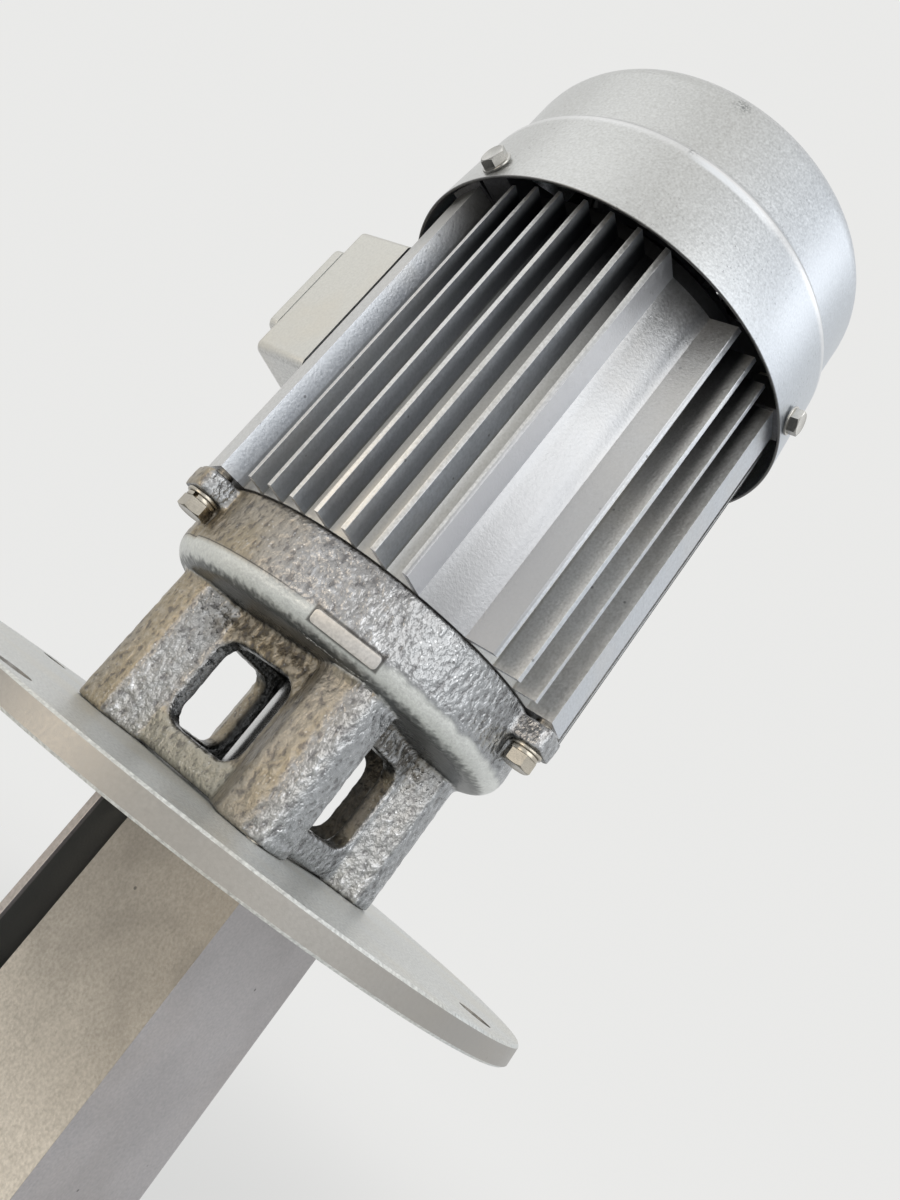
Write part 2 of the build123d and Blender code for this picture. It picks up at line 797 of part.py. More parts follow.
# Shaft: one stepped bar from the fan to the impeller
impeller_thread_top_z = impeller_hub_low_z
shaft_low_z = impeller_hub_low_z - impeller_washer_t - impeller_nut_h - 1
with BuildPart() as shaft:
    shaft_steps = turned_face(
        [
            (0, shaft_low_z),
            (impeller_thread_d / 2, shaft_low_z),
            (impeller_thread_d / 2, impeller_thread_top_z),
            (impeller_seat_d / 2, impeller_thread_top_z),
            (impeller_seat_d / 2, impeller_top_z),
            (shaft_r, impeller_top_z),
            (shaft_r, seal_z - 2),
            (lower_bearing_bore_d / 2, seal_z - 2),
            (lower_bearing_bore_d / 2, lower_bearing_top_z),
            (core_seat_d / 2, lower_bearing_top_z),
            (core_seat_d / 2, core_top_z + end_ring_h),
            (upper_journal_d / 2 + 2, core_top_z + end_ring_h),
            (upper_journal_d / 2 + 2, upper_bearing_z),
            (upper_journal_d / 2, upper_bearing_z),
            (upper_journal_d / 2, fan_z),
            (fan_seat_d / 2, fan_z),
            (fan_seat_d / 2, shaft_top_z),
            (0, shaft_top_z),
        ]
    )
    revolve(shaft_steps, axis=Axis.Z)
    ends = shaft.edges().group_by(Axis.Z)[0] + shaft.edges().group_by(Axis.Z)[-1]
    chamfer(ends, length=shaft_chamfer)
    # keyway for the impeller
    key_mid_z = (impeller_top_z + impeller_hub_low_z) / 2
    with Locations((impeller_seat_d / 2, 0, key_mid_z)):
        Box(impeller_key_w, impeller_key_w, impeller_key_length, mode=Mode.SUBTRACT)
shaft.part.label = "shaft"
export_step(shaft.part, "parts/shaft.step")

with BuildPart() as impeller_key:
    with Locations((impeller_seat_d / 2, 0, key_mid_z)):
        Box(
            impeller_key_w - 2 * seat_gap,
            impeller_key_w - 2 * seat_gap,
            impeller_key_length - 2 * seat_gap,
        )
impeller_key.part.label = "impeller_key"
export_step(impeller_key.part, "parts/impeller_key.step")


# Rotor on the shaft
with BuildPart() as rotor_core:
    revolve(
        ring_face(core_seat_d / 2 + seat_gap, stator_bore_r - rotor_gap, core_z, core_top_z),
        axis=Axis.Z,
    )
rotor_core.part.label = "rotor_core"
export_step(rotor_core.part, "parts/rotor_core.step")

with BuildPart() as end_rings:
    ring_inner_r = core_seat_d / 2 + 4
    revolve(ring_face(ring_inner_r, end_ring_r, core_z - end_ring_h, core_z), axis=Axis.Z)
    revolve(ring_face(ring_inner_r, end_ring_r, core_top_z, core_top_z + end_ring_h), axis=Axis.Z)
end_rings.part.label = "rotor_end_rings"
export_step(end_rings.part, "parts/rotor_end_rings.step")


# Ball bearings: rings with raceways, and balls at even spacing between them
def bearing_outer(outer_r, pitch_r, low_z, width):
    """Outer ring with a raceway, for the bearing seat."""
    mid_z = low_z + width / 2
    revolve(ring_face(outer_r - ring_t, outer_r - seat_gap, low_z, low_z + width), axis=Axis.Z)
    with Locations((0, 0, mid_z)):
        Torus(pitch_r, ball_d / 2 + ball_gap, mode=Mode.SUBTRACT)


def bearing_inner(bore_r, pitch_r, low_z, width):
    """Inner ring with a raceway, for the shaft."""
    mid_z = low_z + width / 2
    revolve(ring_face(bore_r + seat_gap, bore_r + ring_t, low_z, low_z + width), axis=Axis.Z)
    with Locations((0, 0, mid_z)):
        Torus(pitch_r, ball_d / 2 + seat_gap, mode=Mode.SUBTRACT)


def bearing_balls(pitch_r, low_z, width):
    """Full set of balls on the pitch circle."""
    with Locations((0, 0, low_z + width / 2)):
        with PolarLocations(pitch_r, ball_count):
            Sphere(ball_d / 2)


lower_pitch_r = (lower_bearing_outer_d + lower_bearing_bore_d) / 4
with BuildPart() as lower_outer:
    bearing_outer(lower_bearing_outer_d / 2, lower_pitch_r, lower_bearing_z, lower_bearing_w)
lower_outer.part.label = "lower_bearing_outer_ring"
export_step(lower_outer.part, "parts/lower_bearing_outer_ring.step")

with BuildPart() as lower_inner:
    bearing_inner(lower_bearing_bore_d / 2, lower_pitch_r, lower_bearing_z, lower_bearing_w)
lower_inner.part.label = "lower_bearing_inner_ring"
export_step(lower_inner.part, "parts/lower_bearing_inner_ring.step")

with BuildPart() as lower_balls:
    bearing_balls(lower_pitch_r, lower_bearing_z, lower_bearing_w)
lower_balls.part.label = "lower_bearing_balls"
export_step(lower_balls.part, "parts/lower_bearing_balls.step")

upper_pitch_r = (upper_bearing_outer_d + upper_journal_d) / 4
with BuildPart() as upper_outer:
    bearing_outer(upper_bearing_outer_d / 2, upper_pitch_r, upper_bearing_z, upper_bearing_w)
upper_outer.part.label = "upper_bearing_outer_ring"
export_step(upper_outer.part, "parts/upper_bearing_outer_ring.step")

with BuildPart() as upper_inner:
    bearing_inner(upper_journal_d / 2, upper_pitch_r, upper_bearing_z, upper_bearing_w)
upper_inner.part.label = "upper_bearing_inner_ring"
export_step(upper_inner.part, "parts/upper_bearing_inner_ring.step")

with BuildPart() as upper_balls:
    bearing_balls(upper_pitch_r, upper_bearing_z, upper_bearing_w)
upper_balls.part.label = "upper_bearing_balls"
export_step(upper_balls.part, "parts/upper_bearing_balls.step")

with BuildPart() as wave_washer:
    revolve(
        ring_face(
            upper_bearing_outer_d / 2 - ring_t,
            upper_bearing_outer_d / 2 - seat_gap,
            upper_bearing_top_z,
            upper_bearing_top_z + wave_washer_t,
        ),
        axis=Axis.Z,
    )
wave_washer.part.label = "wave_washer"
export_step(wave_washer.part, "parts/wave_washer.step")


# Lip seal under the lower bearing
with BuildPart() as shaft_seal:
    seal_lip_r = lower_bearing_bore_d / 2 + running_gap
    seal_section = turned_face(
        [
            (seal_lip_r, seal_z),
            (seal_outer_d / 2 - seat_gap, seal_z),
            (seal_outer_d / 2 - seat_gap, seal_z + seal_w),
            (seal_outer_d / 2 - 2, seal_z + seal_w),
            (seal_outer_d / 2 - 2, seal_z + 2),
            (seal_lip_r + 2, seal_z + 2),
            (seal_lip_r + 2, seal_z + seal_w - 2),
            (seal_lip_r, seal_z + seal_w - 3),
        ]
    )
    revolve(seal_section, axis=Axis.Z)
shaft_seal.part.label = "shaft_seal"
export_step(shaft_seal.part, "parts/shaft_seal.step")


# Cooling fan on the shaft's upper end, with straight blades that suit both ways round
with BuildPart() as fan:
    fan_bore_r = fan_seat_d / 2 + seat_gap
    revolve(ring_face(fan_bore_r, fan_disc_r, fan_z, fan_z + fan_disc_t), axis=Axis.Z)
    revolve(ring_face(fan_bore_r, fan_hub_r, fan_z, fan_hub_top_z), axis=Axis.Z)
    for index in range(fan_blade_count):
        blade_plane = Plane.XZ.rotated((0, 0, index * 360 / fan_blade_count))
        with BuildSketch(blade_plane):
            Polygon(
                (fan_hub_r - 1, fan_z),
                (fan_disc_r, fan_z),
                (fan_r, fan_z + fan_blade_h - fan_blade_tip_h),
                (fan_r, fan_z + fan_blade_tip_h),
                (fan_hub_r + fan_blade_rise_w, fan_z + fan_blade_h),
                (fan_hub_r - 1, fan_hub_top_z),
            )
        extrude(amount=fan_blade_t / 2, both=True)
fan.part.label = "cooling_fan"
export_step(fan.part, "parts/cooling_fan.step")

with BuildPart() as fan_clip:
    clip_inner_r = fan_seat_d / 2 + seat_gap
    with BuildSketch(Plane.XY.offset(fan_hub_top_z + seat_gap)):
        Circle(clip_inner_r + clip_width)
        Circle(clip_inner_r, mode=Mode.SUBTRACT)
        with Locations((clip_inner_r, 0)):
            Rectangle(4 * clip_width, clip_width, mode=Mode.SUBTRACT)
    extrude(amount=clip_t)
fan_clip.part.label = "fan_circlip"
export_step(fan_clip.part, "parts/fan_circlip.step")


# Column: a bent channel open to the front, and a front plate mitred to its right edge
with BuildPart() as column:
    with BuildSketch():
        with BuildLine():
            outer = FilletPolyline(
                (column_front, column_left),
                (column_back, column_left),
                (column_back, column_right),
                (column_front, column_right),
                radius=column_bend_r,
            )
            inner = FilletPolyline(
                (column_front, column_left + column_t),
                (column_back + column_t, column_left + column_t),
                (column_back + column_t, column_right - column_t),
                (column_front - column_t, column_right - column_t),
                radius=column_bend_r - column_t,
            )
            Line(outer @ 0, inner @ 0)
            Line(outer @ 1, inner @ 1)
        make_face()
    extrude(amount=-column_length)
column.part.label = "column_channel"
export_step(column.part, "parts/column_channel.step")

with BuildPart() as front_plate:
    plate_edge = column_left + column_slot
    with BuildSketch():
        Polygon(
            (column_front, column_right),
            (column_front, plate_edge),
            (column_front - column_t, plate_edge),
            (column_front - column_t, column_right - column_t),
        )
    extrude(amount=-column_length)
front_plate.part.label = "column_front_plate"
export_step(front_plate.part, "parts/column_front_plate.step")


# Foot plate at the column's lower end, bored for the throat bushing
with BuildPart() as foot_plate:
    with BuildSketch(Plane.XY.offset(column_foot_z)):
        Circle(foot_plate_r)
        Circle(bushing_outer_d / 2 + seat_gap, mode=Mode.SUBTRACT)
        with PolarLocations(casing_bolt_circle_r, casing_bolt_count, start_angle=casing_bolt_azimuth):
            Circle(casing_bolt_d / 2 + seat_gap, mode=Mode.SUBTRACT)
    extrude(amount=-foot_plate_t)
foot_plate.part.label = "column_foot_plate"
export_step(foot_plate.part, "parts/column_foot_plate.step")

with BuildPart() as bushing:
    bushing_inner_r = shaft_r + running_gap
    bushing_top_z = plate_low_z + bushing_length
    revolve(ring_face(bushing_inner_r, bushing_outer_d / 2, plate_low_z, bushing_top_z), axis=Axis.Z)
bushing.part.label = "throat_bushing"
export_step(bushing.part, "parts/throat_bushing.step")


# Impeller: an open wheel with backward-curved vanes under its shroud
def vane_angle(reach):
    """Angle on the vane's arc at which it lies at a given distance from the shaft."""
    ratio = (vane_arc_offset ** 2 + vane_arc_r ** 2 - reach ** 2) / (2 * vane_arc_offset * vane_arc_r)
    return 180 - degrees(acos(ratio))


with BuildPart() as impeller:
    impeller_bore_r = impeller_seat_d / 2 + seat_gap
    shroud_low_z = impeller_top_z - impeller_shroud_t
    revolve(ring_face(impeller_bore_r, impeller_r, shroud_low_z, impeller_top_z), axis=Axis.Z)
    revolve(ring_face(impeller_bore_r, impeller_hub_r, impeller_hub_low_z, impeller_top_z), axis=Axis.Z)
    vane_start = vane_angle(impeller_r - vane_t)
    vane_sweep = vane_angle(vane_inner_r) - vane_start
    vane_arc = CenterArc((vane_arc_offset, 0), vane_arc_r, vane_start, vane_sweep, mode=Mode.PRIVATE)
    with BuildSketch(Plane.XY.offset(shroud_low_z)):
        with PolarLocations(0, vane_count):
            SlotArc(vane_arc, vane_t)
    extrude(amount=-vane_h)
    with Locations((impeller_seat_d / 2, 0, key_mid_z)):
        Box(impeller_key_w, impeller_key_w, 2 * impeller_hub_h, mode=Mode.SUBTRACT)
impeller.part.label = "impeller"
export_step(impeller.part, "parts/impeller.step")

with BuildPart() as impeller_washer:
    revolve(
        ring_face(
            impeller_thread_d / 2 + seat_gap,
            impeller_washer_r,
            impeller_hub_low_z - impeller_washer_t,
            impeller_hub_low_z,
        ),
        axis=Axis.Z,
    )
impeller_washer.part.label = "impeller_washer"
export_step(impeller_washer.part, "parts/impeller_washer.step")

with BuildPart() as impeller_nut:
    with BuildSketch(Plane.XY.offset(impeller_hub_low_z - impeller_washer_t)):
        RegularPolygon(impeller_nut_af / 2, 6, major_radius=False)
        Circle(impeller_thread_d / 2 + seat_gap, mode=Mode.SUBTRACT)
    extrude(amount=-impeller_nut_h)
impeller_nut.part.label = "impeller_nut"
export_step(impeller_nut.part, "parts/impeller_nut.step")


# Pump casing: an off-centre chamber under the foot plate, with a round outlet to the side
outlet_plane = Plane(origin=(outlet_x, 0, outlet_z), x_dir=(1, 0, 0), z_dir=(0, 1, 0))
casing_rim_r = chamber_r + casing_wall + casing_rim_w
cover_screw_circle_r = casing_rim_r - casing_rim_w / 2
with BuildPart() as casing:
    with BuildSketch(Plane.XY.offset(plate_low_z)):
        Circle(foot_plate_r)
    extrude(amount=-casing_flange_t)
    with BuildSketch(Plane.XY.offset(plate_low_z)):
        with Locations((-chamber_offset, 0)):
            Circle(chamber_r + casing_wall)
    extrude(amount=-chamber_h)
    with BuildSketch(Plane.XY.offset(chamber_floor_z)):
        with Locations((-chamber_offset, 0)):
            Circle(casing_rim_r)
    extrude(amount=casing_rim_t)
    with BuildSketch(outlet_plane):
        Circle(outlet_bore_r + outlet_wall)
    extrude(amount=foot_plate_r)
    with BuildSketch(Plane.XY.offset(plate_low_z)):
        with Locations((-chamber_offset, 0)):
            Circle(chamber_r)
    extrude(amount=-chamber_h, mode=Mode.SUBTRACT)
    with BuildSketch(outlet_plane):
        Circle(outlet_bore_r)
    extrude(amount=foot_plate_r, mode=Mode.SUBTRACT)
    with BuildSketch(Plane.XY.offset(plate_low_z)):
        with PolarLocations(casing_bolt_circle_r, casing_bolt_count, start_angle=casing_bolt_azimuth):
            Circle(casing_bolt_d / 2 + seat_gap)
    extrude(amount=-casing_flange_t, mode=Mode.SUBTRACT)
    with BuildSketch(Plane.XY.offset(chamber_floor_z)):
        with Locations((-chamber_offset, 0)):
            with PolarLocations(cover_screw_circle_r, cover_screw_count):
                Circle(cover_screw_d / 2 + seat_gap)
    extrude(amount=cover_screw_depth, mode=Mode.SUBTRACT)
casing.part.label = "pump_casing"
export_step(casing.part, "parts/pump_casing.step")

with BuildPart() as suction_cover:
    with BuildSketch(Plane.XY.offset(chamber_floor_z)):
        with Locations((-chamber_offset, 0)):
            Circle(casing_rim_r)
            with PolarLocations(cover_screw_circle_r, cover_screw_count):
                Circle(cover_screw_d / 2 + seat_gap, mode=Mode.SUBTRACT)
    extrude(amount=-cover_t)
    with BuildSketch(Plane.XY.offset(cover_low_z)):
        Circle(eye_r + eye_collar_wall)
    extrude(amount=-eye_collar_h)
    with BuildSketch(Plane.XY.offset(chamber_floor_z)):
        Circle(eye_r)
    extrude(amount=-cover_t - eye_collar_h, mode=Mode.SUBTRACT)
suction_cover.part.label = "suction_cover"
export_step(suction_cover.part, "parts/suction_cover.step")

with BuildPart() as cover_screws:
    with BuildSketch(Plane.XY.offset(cover_low_z)):
        with Locations((-chamber_offset, 0)):
            with PolarLocations(cover_screw_circle_r, cover_screw_count):
                Circle(cover_screw_head_r)
    extrude(amount=-cover_screw_head_h)
    with BuildSketch(Plane.XY.offset(cover_low_z)):
        with Locations((-chamber_offset, 0)):
            with PolarLocations(cover_screw_circle_r, cover_screw_count):
                Circle(cover_screw_d / 2)
    extrude(amount=cover_t + cover_screw_depth - seat_gap)
cover_screws.part.label = "suction_cover_screws"
export_step(cover_screws.part, "parts/suction_cover_screws.step")

with BuildPart() as outlet_socket:
    with BuildSketch(outlet_plane.offset(foot_plate_r)):
        Circle(socket_thread_r + socket_wall)
        Circle(socket_thread_r, mode=Mode.SUBTRACT)
    extrude(amount=socket_length)
outlet_socket.part.label = "outlet_socket"
export_step(outlet_socket.part, "parts/outlet_socket.step")

with BuildPart() as casing_bolts:
    casing_seat_z = plate_low_z - casing_flange_t
    with BuildSketch(Plane.XY.offset(casing_seat_z)):
        with PolarLocations(casing_bolt_circle_r, casing_bolt_count, start_angle=casing_bolt_azimuth):
            RegularPolygon(casing_bolt_af / 2, 6, major_radius=False)
    extrude(amount=-casing_bolt_head_h)
    with BuildSketch(Plane.XY.offset(casing_seat_z)):
        with PolarLocations(casing_bolt_circle_r, casing_bolt_count, start_angle=casing_bolt_azimuth):
            Circle(casing_bolt_d / 2)
    extrude(amount=casing_flange_t + foot_plate_t - 1)
casing_bolts.part.label = "casing_bolts"
export_step(casing_bolts.part, "parts/casing_bolts.step")


# Terminal box: a cast base on the frame's land, with a smaller raised lid
box_plane = Plane(origin=(0, -land_face, box_mid_z), x_dir=(1, 0, 0), z_dir=(0, -1, 0))
gland_plane = Plane(
    origin=(0, -land_face - box_depth / 2, box_mid_z - box_h / 2),
    x_dir=(1, 0, 0),
    z_dir=(0, 0, -1),
)
with BuildPart() as box_base:
    with BuildSketch(box_plane):
        RectangleRounded(box_w, box_h, box_corner_r)
    extrude(amount=box_depth)
    face_edges = box_base.faces().sort_by(Axis.Y)[0].edges()
    fillet(face_edges, radius=box_corner_r / 2)
    with BuildSketch(box_plane.offset(box_floor_t)):
        RectangleRounded(box_pocket_w, box_pocket_h, box_corner_r)
    extrude(amount=box_depth, mode=Mode.SUBTRACT)
    with BuildSketch(box_plane):
        Circle(wire_hole_d / 2)
        with GridLocations(2 * base_screw_x, 2 * base_screw_y, 2, 2):
            Circle(base_screw_d / 2 + seat_gap)
    extrude(amount=box_floor_t, mode=Mode.SUBTRACT)
    with BuildSketch(box_plane.offset(box_depth)):
        with GridLocations(2 * lid_screw_x, 2 * lid_screw_y, 2, 2):
            Circle(lid_screw_d / 2 + seat_gap)
    extrude(amount=-lid_screw_depth, mode=Mode.SUBTRACT)
    with BuildSketch(box_plane.offset(box_depth)):
        RectangleRounded(box_pocket_w + 2 * gasket_width, box_pocket_h + 2 * gasket_width, box_corner_r)
    extrude(amount=-gasket_t, mode=Mode.SUBTRACT)
    with BuildSketch(gland_plane):
        Circle(gland_thread_d / 2 + seat_gap)
    extrude(amount=-(box_h - box_pocket_h) / 2 - 1, mode=Mode.SUBTRACT)
box_base.part.label = "terminal_box_base"
export_step(box_base.part, "parts/terminal_box_base.step")

with BuildPart() as gasket:
    gasket_w = box_pocket_w + 2 * gasket_width - 2 * seat_gap
    gasket_h = box_pocket_h + 2 * gasket_width - 2 * seat_gap
    with BuildSketch(box_plane.offset(box_depth)):
        RectangleRounded(gasket_w, gasket_h, box_corner_r)
        RectangleRounded(box_pocket_w, box_pocket_h, box_corner_r - gasket_width, mode=Mode.SUBTRACT)
    extrude(amount=-gasket_t)
gasket.part.label = "terminal_box_gasket"
export_step(gasket.part, "parts/terminal_box_gasket.step")

with BuildPart() as box_lid:
    with BuildSketch(box_plane.offset(box_depth)):
        RectangleRounded(box_w - 2 * lid_inset, lid_h, box_corner_r)
    extrude(amount=lid_t)
    fillet(box_lid.faces().sort_by(Axis.Y)[0].edges(), radius=1)
    with BuildSketch(box_plane.offset(box_depth)):
        with GridLocations(2 * lid_screw_x, 2 * lid_screw_y, 2, 2):
            Circle(lid_screw_d / 2 + seat_gap)
    extrude(amount=lid_t, mode=Mode.SUBTRACT)
    with BuildSketch(box_plane.offset(box_depth + lid_t)):
        with GridLocations(2 * lid_screw_x, 2 * lid_screw_y, 2, 2):
            Circle(lid_screw_head_r + seat_gap)
    extrude(amount=-lid_screw_head_h, mode=Mode.SUBTRACT)
box_lid.part.label = "terminal_box_lid"
export_step(box_lid.part, "parts/terminal_box_lid.step")

with BuildPart() as lid_screws:
    lid_seat_depth = box_depth + lid_t - lid_screw_head_h
    with BuildSketch(box_plane.offset(lid_seat_depth)):
        with GridLocations(2 * lid_screw_x, 2 * lid_screw_y, 2, 2):
            Circle(lid_screw_head_r)
    extrude(amount=lid_screw_head_h)
    with BuildSketch(box_plane.offset(lid_seat_depth)):
        with GridLocations(2 * lid_screw_x, 2 * lid_screw_y, 2, 2):
            Circle(lid_screw_d / 2)
    extrude(amount=box_depth - lid_screw_depth + 1 - lid_seat_depth)
lid_screws.part.label = "terminal_lid_screws"
export_step(lid_screws.part, "parts/terminal_lid_screws.step")

with BuildPart() as base_screws:
    with BuildSketch(box_plane.offset(box_floor_t)):
        with GridLocations(2 * base_screw_x, 2 * base_screw_y, 2, 2):
            Circle(base_screw_head_r)
    extrude(amount=base_screw_head_h)
    with BuildSketch(box_plane.offset(box_floor_t)):
        with GridLocations(2 * base_screw_x, 2 * base_screw_y, 2, 2):
            Circle(base_screw_d / 2)
    extrude(amount=-box_floor_t - base_screw_depth + 1)
base_screws.part.label = "terminal_base_screws"
export_step(base_screws.part, "parts/terminal_base_screws.step")

with BuildPart() as terminal_block:
    with BuildSketch(box_plane.offset(box_floor_t)):
        Rectangle(block_w, block_h)
        with GridLocations(stud_pitch_x, stud_pitch_y, stud_rows, 2):
            Circle(stud_d / 2 + seat_gap, mode=Mode.SUBTRACT)
    extrude(amount=block_depth)
terminal_block.part.label = "terminal_block"
export_step(terminal_block.part, "parts/terminal_block.step")

with BuildPart() as studs:
    with BuildSketch(box_plane.offset(box_floor_t)):
        with GridLocations(stud_pitch_x, stud_pitch_y, stud_rows, 2):
            Circle(stud_d / 2)
    extrude(amount=block_depth + stud_rise)
studs.part.label = "terminal_studs"
export_step(studs.part, "parts/terminal_studs.step")


# Cable gland in the lower end of the terminal box: body, sleeve and nut
with BuildPart() as gland_body:
    with BuildSketch(gland_plane):
        Circle(gland_thread_d / 2)
    extrude(amount=-gland_thread_length)
    with BuildSketch(gland_plane):
        RegularPolygon(gland_af / 2, 6, major_radius=False)
    extrude(amount=gland_hex_h)
    with BuildSketch(gland_plane.offset(gland_hex_h)):
        Circle(gland_cable_d / 2 + gland_sleeve_t + seat_gap)
    extrude(amount=-gland_hex_h - gland_thread_length, mode=Mode.SUBTRACT)
gland_body.part.label = "cable_gland_body"
export_step(gland_body.part, "parts/cable_gland_body.step")

with BuildPart() as gland_sleeve:
    with BuildSketch(gland_plane.offset(gland_hex_h)):
        Circle(gland_cable_d / 2 + gland_sleeve_t)
        Circle(gland_cable_d / 2, mode=Mode.SUBTRACT)
    extrude(amount=-gland_sleeve_length)
gland_sleeve.part.label = "cable_gland_sleeve"
export_step(gland_sleeve.part, "parts/cable_gland_sleeve.step")

with BuildPart() as gland_nut:
    with BuildSketch(gland_plane.offset(gland_hex_h)):
        RegularPolygon(gland_nut_af / 2, 6, major_radius=False)
    extrude(amount=gland_nut_h)
    fillet(gland_nut.faces().sort_by(Axis.Z)[0].edges(), radius=2)
    with BuildSketch(gland_plane.offset(gland_hex_h)):
        Circle(gland_cable_d / 2 + 0.5)
    extrude(amount=gland_nut_h, mode=Mode.SUBTRACT)
gland_nut.part.label = "cable_gland_nut"
export_step(gland_nut.part, "parts/cable_gland_nut.step")
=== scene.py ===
import math

import bmesh
import bpy
from mathutils import Matrix, Vector, noise


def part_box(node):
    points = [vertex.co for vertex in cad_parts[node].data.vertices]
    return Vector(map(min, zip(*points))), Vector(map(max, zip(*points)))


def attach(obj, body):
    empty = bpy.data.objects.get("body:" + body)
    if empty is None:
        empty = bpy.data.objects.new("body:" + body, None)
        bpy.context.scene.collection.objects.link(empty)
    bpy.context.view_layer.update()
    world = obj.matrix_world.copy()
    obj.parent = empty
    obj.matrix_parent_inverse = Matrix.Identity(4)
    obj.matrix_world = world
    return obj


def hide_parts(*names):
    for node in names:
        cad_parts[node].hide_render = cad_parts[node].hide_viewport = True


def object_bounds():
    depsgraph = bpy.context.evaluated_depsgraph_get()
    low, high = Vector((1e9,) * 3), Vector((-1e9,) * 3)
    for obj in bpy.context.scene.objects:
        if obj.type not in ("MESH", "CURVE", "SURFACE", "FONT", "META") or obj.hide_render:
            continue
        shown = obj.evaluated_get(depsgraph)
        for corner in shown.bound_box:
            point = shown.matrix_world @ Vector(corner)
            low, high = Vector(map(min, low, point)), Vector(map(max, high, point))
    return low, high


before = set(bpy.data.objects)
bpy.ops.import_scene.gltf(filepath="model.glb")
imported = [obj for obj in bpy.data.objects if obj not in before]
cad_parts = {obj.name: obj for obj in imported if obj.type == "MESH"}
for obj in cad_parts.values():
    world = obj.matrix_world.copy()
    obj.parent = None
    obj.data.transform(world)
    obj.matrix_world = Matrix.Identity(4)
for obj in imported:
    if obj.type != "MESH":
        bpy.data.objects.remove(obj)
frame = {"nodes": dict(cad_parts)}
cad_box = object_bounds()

bl_info = {
    "name": "Coolant Pump",
    "version": (1, 0, 0),
    "blender": (4, 5, 0),
    "location": "3D View > Sidebar > Pump",
    "description": "Paint, cast skin, turned cowl, fasteners, welds and studio for a coolant pump",
    "category": "Object",
}

MM = 0.001
TURN = 2 * math.pi
FIXED_BODY = "pump"

# How metallic silver paint is
SILVER = 0.85

# The fasteners: their places round the shaft in degrees, and their sizes
LUG_AZIMUTHS = (-30, 90, 210)
LUG_BOLT_RADIUS = 62.5 * MM
LUG_BOLT_ACROSS = 8 * MM
COWL_SCREW_AZIMUTHS = (-18.5, 90, 198.5)
COWL_SCREW_SEAT = 70.05 * MM
COWL_SCREW_ACROSS = 7 * MM
COWL_WASHER_HEIGHT = 0.75 * MM

# The photograph's camera
CAMERA_PLACE = (0.21929, 0.14753, 0.02039)
CAMERA_RIGHT = (-0.2642683, 0.7590350, 0.5950027)
CAMERA_UP = (0.4979155, -0.4209844, 0.7581902)
CAMERA_BACK = (0.8259797, 0.4966267, -0.2666824)
CAMERA_LENS = 26.74

# The flat ground pad on the lantern's shoulder
PAD_AZIMUTH = 31
PAD_WIDTH = 19.5 * MM
PAD_HEIGHT = 3.7 * MM
PAD_PLACE = (
    Matrix.Rotation(math.radians(PAD_AZIMUTH), 4, "Z")
    @ Matrix.Translation((57.45 * MM, 0, 54.6 * MM))
    @ Matrix.Rotation(math.radians(20), 4, "Y"))
PAD_MIDDLE = PAD_PLACE.translation
PAD_ACROSS = PAD_PLACE.col[1].xyz
PAD_UP = PAD_PLACE.col[2].xyz


# Sizes that the pieces made here share with the solids

def top_of(node):
    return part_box(node)[1].z


def foot_of(node):
    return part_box(node)[0].z


def reach_of(node):
    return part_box(node)[1].x


def mid_height_of(node):
    return (foot_of(node) + top_of(node)) / 2


def set_up(thing, **settings):
    """Gives a thing its settings, in their order."""
    for name, value in settings.items():
        setattr(thing, name, value)
    return thing


# Settings that a user would change

def length_field(name, description, default, precision=4):
    return bpy.props.FloatProperty(
        name=name, description=description, default=default, unit="LENGTH", precision=precision)


def colour_field(name, description, default):
    return bpy.props.FloatVectorProperty(
        name=name, description=description, default=default, subtype="COLOR", size=3, min=0, max=1)


def power_field(name, description, default):
    return bpy.props.FloatProperty(
        name=name, description=description, default=default, unit="POWER", min=0)


class CowlSizes(bpy.types.PropertyGroup):
    """The turned sheet over the fan"""

    rim_radius: length_field("Rim radius", "Outside radius at the open end", reach_of("fan_cowl"))
    crease_radius: length_field("Crease radius", "Outside radius just below the step", 68 * MM)
    crease_height: length_field("Crease height", "From the rim to the step", 31 * MM)
    step_height: length_field("Step height", "Height over which the sheet steps inwards", 2 * MM)
    drum_radius: length_field("Drum radius", "Outside radius above the step", 65.6 * MM)
    corner_radius: length_field("Corner radius", "Outside radius of the top's corner", 10 * MM)
    sheet: length_field("Sheet", "Thickness of the pressed sheet", 1 * MM)
    slot_width: length_field("Slot width", "Width of a slot in the grille", 5 * MM)
    slot_span: bpy.props.FloatProperty(
        name="Slot span", description="Angle from end to end of a slot's middle line",
        default=math.radians(28), subtype="ANGLE")
    slot_count: bpy.props.IntProperty(
        name="Slots", description="Slots in each ring of the grille", default=8, min=3)


class CastingSizes(bpy.types.PropertyGroup):
    """The rough skin of the lantern bracket"""

    voxel: length_field("Voxel", "Size of the mesh that carries the rough skin", 0.8 * MM, 5)
    smoothing: bpy.props.IntProperty(
        name="Smoothing", description="Passes that round the casting's corners", default=6, min=0)
    lump_width: length_field("Lump width", "Width of one lump of the sand cast skin", 2.6 * MM)
    lump_height: length_field("Lump height", "How far lumps stand up or sink", 0.20 * MM, 5)


